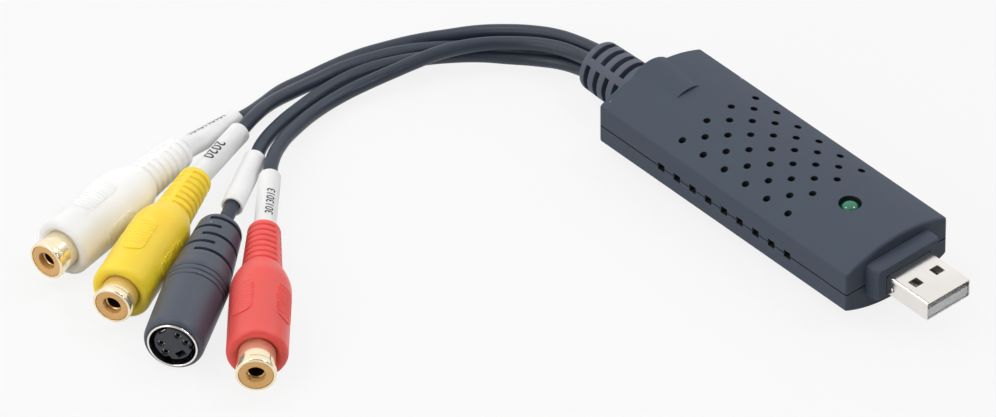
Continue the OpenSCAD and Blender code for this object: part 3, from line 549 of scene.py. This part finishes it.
plug_low, plug_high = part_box("usb_shell")
plug_mm = [(high - low) / MM for low, high in zip(plug_low, plug_high)]
plug_middle_mm = [(high + low) / 2 / MM for low, high in zip(plug_low, plug_high)]
sheet_mm = 0.3
fold_mm = 0.6
inner_fold_mm = 0.3
overrun_mm = 2
window_mm = 2.3
window_corner_mm = 0.15
window_x_mm = plug_high[0] / MM - 6.4
window_y_mm = 2.9
dimple_x_mm = 42.6
dimple_drop_mm = 0.2
dimple_ball_mm = 0.9
dimple_ball_out_mm = 0.76
seam_in_mm = 0.62
seam_width_mm = 0.2
seam_depth_mm = 0.22
plug_skin = block(plug_mm, plug_middle_mm, fold_mm, along=0)
plug_skin.name = "plug_skin"
hollow_mm = [plug_mm[0] + overrun_mm, plug_mm[1] - 2 * sheet_mm, plug_mm[2] - 2 * sheet_mm]
combined(plug_skin, block(hollow_mm, plug_middle_mm, inner_fold_mm, along=0), "DIFFERENCE")
for side in (-1, 1):
    window_size = (window_mm, window_mm, plug_mm[2] + overrun_mm)
    window_place = (window_x_mm, side * window_y_mm, plug_middle_mm[2])
    window = block(window_size, window_place, window_corner_mm, along=2)
    combined(plug_skin, window, "DIFFERENCE")
    dimple_y_mm = side * (plug_mm[1] / 2 + dimple_ball_out_mm)
    dimple_place = (dimple_x_mm, dimple_y_mm, plug_middle_mm[2] - dimple_drop_mm)
    combined(plug_skin, ball(dimple_ball_mm, dimple_place), "DIFFERENCE")
seam_place = (plug_middle_mm[0], -plug_mm[1] / 2 + seam_in_mm, plug_high[2] / MM)
seam = block((plug_mm[0] + overrun_mm, seam_width_mm, 2 * seam_depth_mm), seam_place)
combined(plug_skin, seam, "DIFFERENCE")
softened(plug_skin, 0.05)
fitted(plug_skin, "box", "nickel", bright_nickel, "usb_shell")
tongue_white = moulded_plastic("tongue_white", (0.80, 0.81, 0.83), 0.35, 0.4, 0.004, mottle=0.03)
plug_tongue = refined("usb_insulator", "plug_tongue", 0.12)
fitted(plug_tongue, "box", "white_plastic", tongue_white, "usb_insulator")


# Lamp: a clear green lens on two legs, standing in its round hole a little below the top.
# It is turned here with a domed end, as the moulded epoxy of such a lamp has.
def arc(along, radius, bend, start, end, steps=6):
    """Points of a rounding about a middle on the profile, between two angles in degrees."""
    turns = [math.radians(start + (end - start) * i / steps) for i in range(steps + 1)]
    return [(along + bend * math.cos(turn), radius + bend * math.sin(turn)) for turn in turns]


def turned(name, profile_mm, segments=72):
    """A turned form: the profile's points, along and out from the X axis, spun about it."""
    weld_mm = 0.0005
    bpy.ops.object.select_all(action="DESELECT")
    bpy.ops.mesh.primitive_plane_add(size=MM)
    form = bpy.context.object
    form.name = name
    form.data.name = name
    points = [Vector((along * MM, 0.0, radius * MM)) for along, radius in profile_mm]
    bpy.context.tool_settings.mesh_select_mode = (True, False, False)
    bpy.ops.object.mode_set(mode="EDIT")
    bpy.ops.mesh.merge(type="CENTER")
    bpy.ops.transform.translate(value=points[0])
    for here, there in zip(points, points[1:]):
        bpy.ops.mesh.extrude_region_move(TRANSFORM_OT_translate={"value": there - here})
    bpy.ops.mesh.select_all(action="SELECT")
    bpy.ops.mesh.spin(steps=segments, angle=2 * math.pi, center=(0, 0, 0), axis=(1, 0, 0))
    bpy.ops.mesh.select_all(action="SELECT")
    bpy.ops.mesh.remove_doubles(threshold=weld_mm * MM)
    bpy.ops.mesh.normals_make_consistent(inside=False)
    bpy.ops.object.mode_set(mode="OBJECT")
    return form


def set_in_place(form, place):
    """Moves a finished form to its place and applies that to its mesh."""
    only(form)
    form.matrix_world = place
    bpy.ops.object.transform_apply(location=True, rotation=True, scale=True)


def green_epoxy(name):
    """Clear green epoxy with a glassy surface, its colour painted darker towards its foot as shade
    down in its hole.
    """
    foot_z = 0.0115
    crown_z = 0.0148
    made, tree, shader = principled(name)
    place = tree.nodes.new("ShaderNodeTexCoord")
    height = tree.nodes.new("ShaderNodeSeparateXYZ")
    tree.links.new(place.outputs["Object"], height.inputs["Vector"])
    level = tree.nodes.new("ShaderNodeMapRange")
    level.inputs["From Min"].default_value = foot_z
    level.inputs["From Max"].default_value = crown_z
    tree.links.new(height.outputs["Z"], level.inputs["Value"])
    # Painted shade: the green runs darker from the crown down to the foot, where the lens stands in
    # its hole.
    base = mixed(tree, level.outputs["Result"], (0.000, 0.045, 0.020), (0.000, 0.150, 0.075))
    tree.links.new(base, shader.inputs["Base Color"])
    shader.inputs["Roughness"].default_value = 0.05
    shader.inputs["IOR"].default_value = 1.7
    return made


lens_low, lens_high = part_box("led_lens")
lens_r_mm = (lens_high[0] - lens_low[0]) / 2 / MM
lens_h_mm = (lens_high[2] - lens_low[2]) / MM
foot_mm = 0.8
dome_mm = 1.3
edge_mm = 0.1
stem_r_mm = lens_r_mm - 0.06
lens_profile = [(0, 0), (0, lens_r_mm - edge_mm), (edge_mm, lens_r_mm), (foot_mm, lens_r_mm)]
lens_profile += [(foot_mm + edge_mm, stem_r_mm), (lens_h_mm - dome_mm, stem_r_mm)]
lens_profile += [
    (lens_h_mm - dome_mm + dome_mm * math.sin(turn), stem_r_mm * math.cos(turn))
    for turn in [math.radians(6 * i) for i in range(1, 16)]
]
lamp_lens = turned("lamp_lens", lens_profile, 48)
lamp_middle = Vector(((lens_low[0] + lens_high[0]) / 2, 0.0, lens_low[2]))
set_in_place(lamp_lens, Matrix.Translation(lamp_middle) @ Matrix.Rotation(-math.pi / 2, 4, "Y"))
softened(lamp_lens, 0.0)
fitted(lamp_lens, "box", "green_lens", green_epoxy("green_epoxy"), "led_lens")


# Boot: soft PVC moulded on the leads, with four rings of slots that let it bend.
# Its neck sits in the rear wall, and a flange inside keeps it from pulling out.
boot_rubber = moulded_plastic(
    "boot_rubber", (0.096, 0.108, 0.144), 0.58, 0.3, 0.012, mottle=0.06, specks=0.4, sheen=0.3
)
boot = refined("strain_relief", "boot", 0.12)
fitted(boot, "box", "boot_rubber", boot_rubber, "strain_relief")


# Phono sockets: soft coloured PVC moulded over a gold-plated barrel with an insulated contact.
# The body has four ribbed grip pads, a round shoulder and a tail of rings crossed by two spines.
# One set is turned, cut and joined about the X axis, and then copied into the three places.
fine_steps = 96
body_r = 6.3
nose = 1.1
bore_r = 3.9
bore_end_at = -11.6
pad_at = -12.1
pad_length = 10.2
pad_width = 5
pad_corner = 2.0
shoulder_at = -19.4
tail_at, tail_end_at = -25.8, -38.9
tail_r, tail_end_r = 4.2, 3.4
tail_lip = 0.5


def tail_radius(along):
    """Outer radius of the ribbed tail, which narrows towards the lead."""
    return tail_r + (tail_end_r - tail_r) * (along - tail_at) / (tail_end_at - tail_at)


def tail_rings(count=7, first=-26.0, pitch=1.8, width=0.7, depth=0.48):
    """Profile of the rings: round-edged grooves along the tail."""
    points = []
    for i in range(count):
        start = first - i * pitch
        for share, sunk in ((-0.14, 0.0), (0.03, 0.12), (0.16, 0.6), (0.32, 1.0)):
            at = start - share * width
            points.append((at, tail_radius(at) - sunk * depth))
        for share, sunk in ((0.68, 1.0), (0.84, 0.6), (0.97, 0.12), (1.14, 0.0)):
            at = start - share * width
            points.append((at, tail_radius(at) - sunk * depth))
    return points


def pad_ring(ribs=11, rise=0.25, groove_half=0.26, floor_half=0.12):
    """A ring with fine ribs, from which the grip pads are cut."""
    pitch = pad_length / (ribs + 0.5)
    rear = pad_at - pad_length / 2
    front = pad_at + pad_length / 2
    inner = body_r - 0.4
    top = body_r + rise
    low = body_r + rise * 0.05
    points = [(rear, inner), (rear, top)]
    for i in range(1, ribs):
        groove = pad_at + (i - ribs / 2) * pitch
        points += [(groove - groove_half, top), (groove - floor_half, low)]
        points += [(groove + floor_half, low), (groove + groove_half, top)]
    points += [(front, top), (front, inner), (rear, inner)]
    return turned("pad_ring", points, fine_steps)


shoulder = [
    (shoulder_at + (tail_at - shoulder_at) * share, body_r - (body_r - tail_r) * share ** 1.65)
    for share in [i / 10 for i in range(11)]
]
phono_profile = [(bore_end_at, 0.0), (bore_end_at, bore_r), (-0.8, bore_r), (-0.6, bore_r + 0.12)]
phono_profile += [(-0.12, bore_r + 0.8), (0.0, bore_r + 1.0)]
phono_profile += arc(-nose, body_r - nose, nose, 0, 90) + shoulder + tail_rings()
phono_profile += [(tail_end_at + 0.6, tail_radius(tail_end_at + 0.6))]
phono_profile += arc(tail_end_at + tail_lip, tail_end_r - tail_lip, tail_lip, 90, 180, 4)
phono_profile += [(tail_end_at, 0.0)]
phono_body = turned("phono_body", phono_profile, fine_steps)

spine_at = -25.2
spine_end_at = -38.1
spine_width = 1.3
spine_rise = 0.01
across_all = 20
spine_profile = [(spine_at, 0.0), (spine_at, 4.1), (tail_at, tail_r + spine_rise)]
spine_profile += [(spine_end_at, tail_radius(spine_end_at) + spine_rise), (spine_end_at, 0.0)]
spines = turned("spines", spine_profile, fine_steps)
combined(spines, block((across_all, spine_width, across_all), (-32, 0, 0)), "INTERSECT")
combined(phono_body, spines, "UNION")
pad_middle = (pad_at, 0, 0)
pad_outline = block((pad_length, pad_width, across_all), pad_middle, pad_corner, along=2)
side_outline = block((pad_length, across_all, pad_width), pad_middle, pad_corner, along=1)
combined(pad_outline, side_outline, "UNION")
pads = pad_ring()
combined(pads, pad_outline, "INTERSECT")
combined(phono_body, pads, "UNION")
softened(phono_body, 0.05, 38.0)

barrel_at = -15.8
barrel_r = 3.85
barrel_bore_r = 3.55
barrel_profile = [(barrel_at, barrel_bore_r), (barrel_at, barrel_r)]
barrel_profile += [(-1.95, barrel_r), (-1.75, 3.95)]
barrel_profile += arc(-1.35, barrel_r, 0.3, 180, 90, 4) + arc(-0.35, 3.8, 0.35, 90, 0, 5)
barrel_profile += [(-0.02, 3.58), (-0.15, barrel_bore_r), (barrel_at, barrel_bore_r)]
phono_barrel = turned("phono_barrel", barrel_profile, fine_steps)
softened(phono_barrel, 0.0, 50.0)
disc_at = -15.75
disc_r = 3.5
disc_bore_r = 2.05
disc_profile = [(disc_at, disc_bore_r), (disc_at, disc_r), (-0.22, disc_r), (-0.15, 3.43)]
disc_profile += [(-0.15, 2.1), (-0.2, 1.99), (-0.3, 1.95), (-1.5, 1.95)]
disc_profile += [(-1.5, disc_bore_r), (disc_at, disc_bore_r)]
phono_disc = turned("phono_disc", disc_profile, fine_steps)
softened(phono_disc, 0.0, 40.0)
contact_r = 2.0
pin_r = 1.65
pin_end_at = -14.75
contact_profile = [(disc_at, 0.0), (disc_at, contact_r), (-1.7, contact_r), (-1.55, 1.9)]
contact_profile += [(-1.7, pin_r), (pin_end_at, pin_r), (pin_end_at, 0.0)]
phono_contact = turned("phono_contact", contact_profile, 64)
softened(phono_contact, 0.0, 40.0)


def soft_pvc(name, colour, soft_mm):
    """Soft PVC of a socket: smooth, a little shiny, and clouded so that light sinks in."""
    return moulded_plastic(name, colour, 0.38, 0.5, 0.006, mottle=0.025, soft_mm=soft_mm)


phono_plastics = {
    "white": ("white_soft", soft_pvc("white_pvc", (0.87, 0.865, 0.86), (5.0, 5.0, 5.0))),
    "yellow": ("yellow_plastic", soft_pvc("yellow_pvc", (0.90, 0.65, 0.032), (3.0, 2.2, 0.8))),
    "red": ("red_plastic", soft_pvc("red_pvc", (0.75, 0.090, 0.076), (3.5, 0.7, 0.7))),
}
tan_resin = moulded_plastic("tan_resin", (0.80, 0.46, 0.16), 0.45, 0.3, 0.004, mottle=0.04)
contact_metal = plated_metal("contact_metal", (0.62, 0.40, 0.16), 0.3, 0.002)


def copied(form, name):
    """A copy of a form with its own mesh."""
    only(form)
    bpy.ops.object.duplicate(linked=False)
    copy = bpy.context.object
    copy.name = name
    copy.data.name = name
    return copy


def socket_place(name):
    """Where a socket that is modelled about the X axis goes."""
    rim, turn, roll, _, _ = sockets[name]
    return (
        Matrix.Translation(rim)
        @ Matrix.Rotation(math.radians(turn), 4, "Z")
        @ Matrix.Rotation(math.radians(roll), 4, "X")
    )


on_leads = {name: [] for name in sockets}
for name, (slot, plastic) in phono_plastics.items():
    parts = (
        (phono_body, "body", slot, plastic),
        (phono_barrel, "barrel", "gold", gold_plate),
        (phono_disc, "insulator", "tan_disc", tan_resin),
        (phono_contact, "contact", "gold", contact_metal),
    )
    bare = sockets[name][3] - phono_length
    for form, part, part_slot, finish in parts:
        piece = copied(form, f"{name}_phono_{part}")
        shift = -bare if form is phono_body else 0.0
        set_in_place(piece, socket_place(name) @ Matrix.Translation((shift, 0, 0)))
        fitted(piece, "box", part_slot, finish, f"{name}_jack_{part}")
        on_leads[name].append(piece)
for form in (phono_body, phono_barrel, phono_disc, phono_contact):
    bpy.data.objects.remove(form, do_unlink=True)


# Mini-DIN socket: dark PVC moulded round a metal ring and a black core with four contacts.
# The body has three fine rings at its waist and a tail slotted from both sides in turn.
# A spring leaf in the widest notch of the core presses on the plug's shield.
din_r = 6.3
din_nose = 1.6
recess_at = -9.0
recess_r = 5.3
din_profile = [(recess_at, 0.0), (recess_at, recess_r), (0.0, recess_r)]
din_profile += [
    (-din_nose * (1 - math.cos(turn)), 5.58 + 0.72 * math.sin(turn))
    for turn in [math.radians(15 * i) for i in range(7)]
]
for ring in (15.2, 16.6, 18.0):
    ring_r = din_r + 0.25 * (ring - din_nose) / 17.4
    lip_r = ring_r - 0.08
    root_r = ring_r - 0.3
    din_profile += [(-ring + 0.26, ring_r), (-ring + 0.16, lip_r), (-ring + 0.1, root_r)]
    din_profile += [(-ring - 0.1, root_r), (-ring - 0.16, lip_r), (-ring - 0.26, ring_r)]
din_profile += [(-19.0, 6.55), (-19.7, 6.5), (-21.2, 6.24), (-22.0, 6.15)]
din_profile += [(-36.0, 4.72)] + arc(-36.2, 3.8, 0.8, 90, 180, 5)[1:] + [(-37.0, 0.0)]
din_body = turned("svideo_din_body", din_profile, fine_steps)


def tail_slot(index, first=-23.2, pitch=2.85, width=0.9, depth=0.9):
    """One slot of the tail, open to one side or the other."""
    start = first - pitch * index
    outer = 6.15 - 1.55 * (-start - 22) / 15
    half = 10.0
    shift = half - 0.3 * outer if index % 2 == 0 else 0.3 * outer - half
    slot = block((width, 2 * half, 30), (start - width / 2, shift, 0))
    front, rear, root = start + 1, start - width - 1, outer - depth
    uncut = turned("uncut", [(front, 0), (front, root), (rear, root), (rear, 0)], fine_steps)
    combined(slot, uncut, "DIFFERENCE")
    return slot


for index in range(5):
    combined(din_body, tail_slot(index), "DIFFERENCE")
softened(din_body, 0.07, 40.0)
inner_at = -8.95
ring_out_r = 5.25
ring_in_r = 4.85
ring_profile = [(inner_at, ring_in_r), (inner_at, ring_out_r), (0.3, ring_out_r)]
ring_profile += arc(0.3, 5.05, 0.2, 90, 0, 4)
ring_profile += [(0.48, 4.93), (0.4, ring_in_r), (inner_at, ring_in_r)]
din_ring = turned("svideo_din_ring", ring_profile, fine_steps)
softened(din_ring, 0.0, 40.0)
core_r = 3.9
core_base_r = 4.8
core_base_at = -7.0
core_profile = [(inner_at, 0.0), (inner_at, core_base_r), (core_base_at, core_base_r)]
core_profile += [(core_base_at, core_r), (-0.3, core_r), (-0.1, 3.7), (-0.1, 0.0)]
din_core = turned("svideo_din_core", core_profile, fine_steps)
core_turn = 126.5


def on_core(form, turn, out_mm):
    """Sets a form on the core at a turn and a distance from the middle."""
    out = Matrix.Translation((0.0, 0.0, -out_mm * MM))
    set_in_place(form, Matrix.Rotation(math.radians(turn + core_turn), 4, "X") @ out)
    return form


hole_r = 0.67
mouth_r = 0.75
hole_profile = [(core_base_at, 0.0), (core_base_at, hole_r), (-0.25, hole_r)]
hole_profile += [(-0.1, mouth_r), (0.5, mouth_r), (0.5, 0.0)]
contact_places = ((30, 2.5), (150, 2.5), (198.5, 2.8), (341.5, 2.8))
for turn, out in contact_places:
    combined(din_core, on_core(turned("hole", hole_profile, 32), turn, out), "DIFFERENCE")
cut_length = 7.2
cut_middle = (-3.4, 0, 0)
key_slot = block((cut_length, 2.1, 1.3), cut_middle)
combined(din_core, on_core(key_slot, 270, 2.65), "DIFFERENCE")
leaf_turn = 90
notches = ((leaf_turn, 1.9), (218, 0.9), (322, 0.9))
for turn, width in notches:
    notch = block((cut_length, width, 1.2), cut_middle)
    combined(din_core, on_core(notch, turn, core_r), "DIFFERENCE")
softened(din_core, 0.05, 40.0)
spring_leaf = on_core(block((5.8, 1.2, 0.22), cut_middle, 0.09, along=1), leaf_turn, 3.5)
spring_leaf.name = "svideo_spring_leaf"
softened(spring_leaf, 0.03)
dark_pvc = moulded_plastic(
    "dark_pvc", (0.056, 0.069, 0.097), 0.42, 0.5, 0.008, mottle=0.06, specks=0.3
)
core_resin = moulded_plastic("core_resin", (0.030, 0.034, 0.045), 0.45, 0.3, 0.006, mottle=0.05)
din_pieces = (
    (din_body, "dark_soft", dark_pvc, "svideo_jack_body"),
    (din_ring, "nickel", bright_nickel, "svideo_jack_ring"),
    (din_core, "black_core", core_resin, "svideo_jack_core"),
    (spring_leaf, "nickel", bright_nickel),
)
for piece, slot, finish, *replaced in din_pieces:
    set_in_place(piece, socket_place("svideo"))
    fitted(piece, "box", slot, finish, *replaced)
    on_leads["svideo"].append(piece)
nodes["svideo_jack_contacts"].data.materials.clear()
nodes["svideo_jack_contacts"].data.materials.append(bright_nickel)
on_leads["svideo"].append(nodes["svideo_jack_contacts"])


# Marker sleeves: short white tubes of soft PVC, loose on the leads just behind the sockets.
# They slide on the straight end of their lead until they meet the socket.
# Three are printed with plain numbers in black ink that follows the round surface.
sleeve_length_mm = sleeve_length / MM
sleeve_r_mm = 2.3
lip = 0.15
bore_lip = 0.1
bore_lip_r = 1.9
sleeve_profile = arc(lip, sleeve_r_mm - lip, lip, 180, 90, 4)
sleeve_profile += arc(sleeve_length_mm - lip, sleeve_r_mm - lip, lip, 90, 0, 4)
sleeve_profile += arc(sleeve_length_mm - bore_lip, bore_lip_r, bore_lip, 0, -90, 3)
sleeve_profile += arc(bore_lip, bore_lip_r, bore_lip, 270, 180, 3)
sleeve_profile += [sleeve_profile[0]]
sleeve_pvc = moulded_plastic(
    "sleeve_pvc", (0.92, 0.92, 0.92), 0.45, 0.8, 0.01, mottle=0.02, soft_mm=(1.5, 1.5, 1.5)
)
sleeve_form = turned("sleeve_form", sleeve_profile, 64)
softened(sleeve_form, 0.0, 50.0)
print_ink = moulded_plastic("print_ink", (0.012, 0.012, 0.014), 0.5, 0.1, 0.004, mottle=0.3)


def printed(numbers, size_mm, middle_mm, turn, reading):
    """Numbers printed round a sleeve that lies on the X axis; reading is along it, 1 or -1."""
    reach_mm = 1.5
    bolder_mm = 0.02
    weld_mm = 0.01
    ink_mm = 0.012
    sunk_mm = 0.05
    margin_mm = 0.3
    bpy.ops.object.select_all(action="DESELECT")
    bpy.ops.object.text_add()
    text = bpy.context.object
    text.data.body = numbers
    text.data.size = size_mm * MM
    text.data.align_x = "CENTER"
    text.data.align_y = "CENTER"
    text.data.extrude = reach_mm * MM
    text.data.offset = bolder_mm * MM
    bpy.ops.object.convert(target="MESH")
    bpy.ops.object.mode_set(mode="EDIT")
    bpy.ops.mesh.select_all(action="SELECT")
    bpy.ops.mesh.remove_doubles(threshold=weld_mm * MM)
    bpy.ops.object.mode_set(mode="OBJECT")
    facing = Matrix.Rotation(0.0 if reading > 0 else math.pi, 4, "Z")
    out = Matrix.Translation((middle_mm * MM, 0.0, sleeve_r_mm * MM))
    set_in_place(text, Matrix.Rotation(math.radians(turn), 4, "X") @ out @ facing)
    low, high = sleeve_r_mm - sunk_mm, sleeve_r_mm + ink_mm
    near, far = margin_mm, sleeve_length_mm - margin_mm
    film_profile = [(near, low), (near, high), (far, high), (far, low), (near, low)]
    film = turned("film", film_profile, fine_steps)
    combined(film, text, "INTERSECT")
    return film


# The numbers on a sleeve, their size, their middle along it, their turn and their direction
prints = {
    "white": ("1010110101", 2.4, 8.7, 30.0, -1),
    "yellow": ("2020", 3.1, 10.0, 10.0, 1),
    "red": ("3013013", 2.4, 10.5, -22.0, -1),
}
for name, lead in leads.items():
    upper, back = straight_run(name)
    along = Matrix.Translation(upper) @ (back - upper).to_track_quat("X", "Z").to_matrix().to_4x4()
    sleeve = copied(sleeve_form, f"{name}_marker")
    set_in_place(sleeve, along)
    fitted(sleeve, f"{name}_sleeve", "sleeve", sleeve_pvc, f"{name}_sleeve")
    if name in prints:
        print_film = printed(*prints[name])
        print_film.name = f"{name}_print"
        set_in_place(print_film, along)
        fitted(print_film, f"{name}_sleeve", "chip", print_ink)
bpy.data.objects.remove(sleeve_form, do_unlink=True)


# Table and light: a white table in a white tent that is open, and so dark, past the plug.
# A wide lamp lights the near side, and two smaller ones from behind show as points in the lens.
# A fourth has a grid and lights only the sockets, from the right.
def seen_directly(tree):
    """One where the ray comes from the camera, a mirror or glass, and zero elsewhere."""
    path = tree.nodes.new("ShaderNodeLightPath")
    seen = path.outputs["Is Camera Ray"]
    for ray in ("Is Glossy Ray", "Is Transmission Ray"):
        either = tree.nodes.new("ShaderNodeMath")
        either.operation = "MAXIMUM"
        tree.links.new(seen, either.inputs[0])
        tree.links.new(path.outputs[ray], either.inputs[1])
        seen = either.outputs["Value"]
    return seen


table_grey = 0.62
table_glow = 0.85
bpy.ops.object.select_all(action="DESELECT")
bpy.ops.mesh.primitive_plane_add(size=6.0)
table = bpy.context.object
table.name = "table"
white_table, tree, shader = principled("white_table")
shader.inputs["Base Color"].default_value = (table_grey, table_grey, table_grey, 1.0)
shader.inputs["Roughness"].default_value = 0.9
shader.inputs["Specular IOR Level"].default_value = 0.0
glow = tree.nodes.new("ShaderNodeEmission")
blend = tree.nodes.new("ShaderNodeMixShader")
share = tree.nodes.new("ShaderNodeMath")
share.operation = "MULTIPLY"
share.inputs[1].default_value = table_glow
tree.links.new(seen_directly(tree), share.inputs[0])
tree.links.new(share.outputs["Value"], blend.inputs["Fac"])
tree.links.new(shader.outputs["BSDF"], blend.inputs[1])
tree.links.new(glow.outputs["Emission"], blend.inputs[2])
tree.links.new(blend.outputs["Shader"], tree.nodes["Material Output"].inputs["Surface"])
table.data.materials.append(white_table)

gap_direction = Vector((1.0, -0.25, 0.05)).normalized()
gap_light = 0.02
gap_mirrored = 0.22
tent = bpy.data.worlds.new("tent")
scene.world = tent
tent.use_nodes = True
tree = tent.node_tree
place = tree.nodes.new("ShaderNodeTexCoord")
toward_gap = tree.nodes.new("ShaderNodeVectorMath")
toward_gap.operation = "DOT_PRODUCT"
toward_gap.inputs[1].default_value = gap_direction
tree.links.new(place.outputs["Generated"], toward_gap.inputs[0])
cloth = tree.nodes.new("ShaderNodeMapRange")
cloth.interpolation_type = "SMOOTHSTEP"
cloth.inputs["From Min"].default_value = 0.05
cloth.inputs["From Max"].default_value = 0.65
cloth.inputs["To Min"].default_value = 1.0
cloth.inputs["To Max"].default_value = gap_light
tree.links.new(toward_gap.outputs["Value"], cloth.inputs["Value"])
mirrored = tree.nodes.new("ShaderNodeMath")
mirrored.operation = "MULTIPLY"
mirrored.inputs[1].default_value = gap_mirrored
tree.links.new(seen_directly(tree), mirrored.inputs[0])
brightest = tree.nodes.new("ShaderNodeMath")
brightest.operation = "MAXIMUM"
tree.links.new(cloth.outputs["Result"], brightest.inputs[0])
tree.links.new(mirrored.outputs["Value"], brightest.inputs[1])
tree.links.new(brightest.outputs["Value"], tree.nodes["Background"].inputs["Strength"])
tree.nodes["Background"].inputs["Color"].default_value = (1.0, 1.0, 1.0, 1.0)


def soft_lamp(name, place, aim, size, power, beam=180.0):
    """A square soft lamp that points at its aim, with a grid where its beam is narrow."""
    data = bpy.data.lights.new(name, "AREA")
    data.shape = "SQUARE"
    data.size = size
    data.energy = power
    data.spread = math.radians(beam)
    lamp = bpy.data.objects.new(name, data)
    scene.collection.objects.link(lamp)
    lamp.location = place
    lamp.rotation_mode = "QUATERNION"
    lamp.rotation_quaternion = (Vector(aim) - Vector(place)).to_track_quat("-Z", "Y")


lamp_aim = (0.0, -0.03, 0.0)
socket_aim = (-0.05, -0.105, 0.006)
soft_lamp("near_lamp", (0.0, -1.2, 0.55), lamp_aim, 0.6, 3.6)
soft_lamp("rear_lamp", (-0.58, -0.31, 1.12), lamp_aim, 0.26, 1.8)
soft_lamp("far_lamp", (0.24, 0.67, 1.10), lamp_aim, 0.26, 2.6)
soft_lamp("socket_lamp", (0.45, -0.02, 0.42), socket_aim, 0.12, 0.022, beam=24.0)
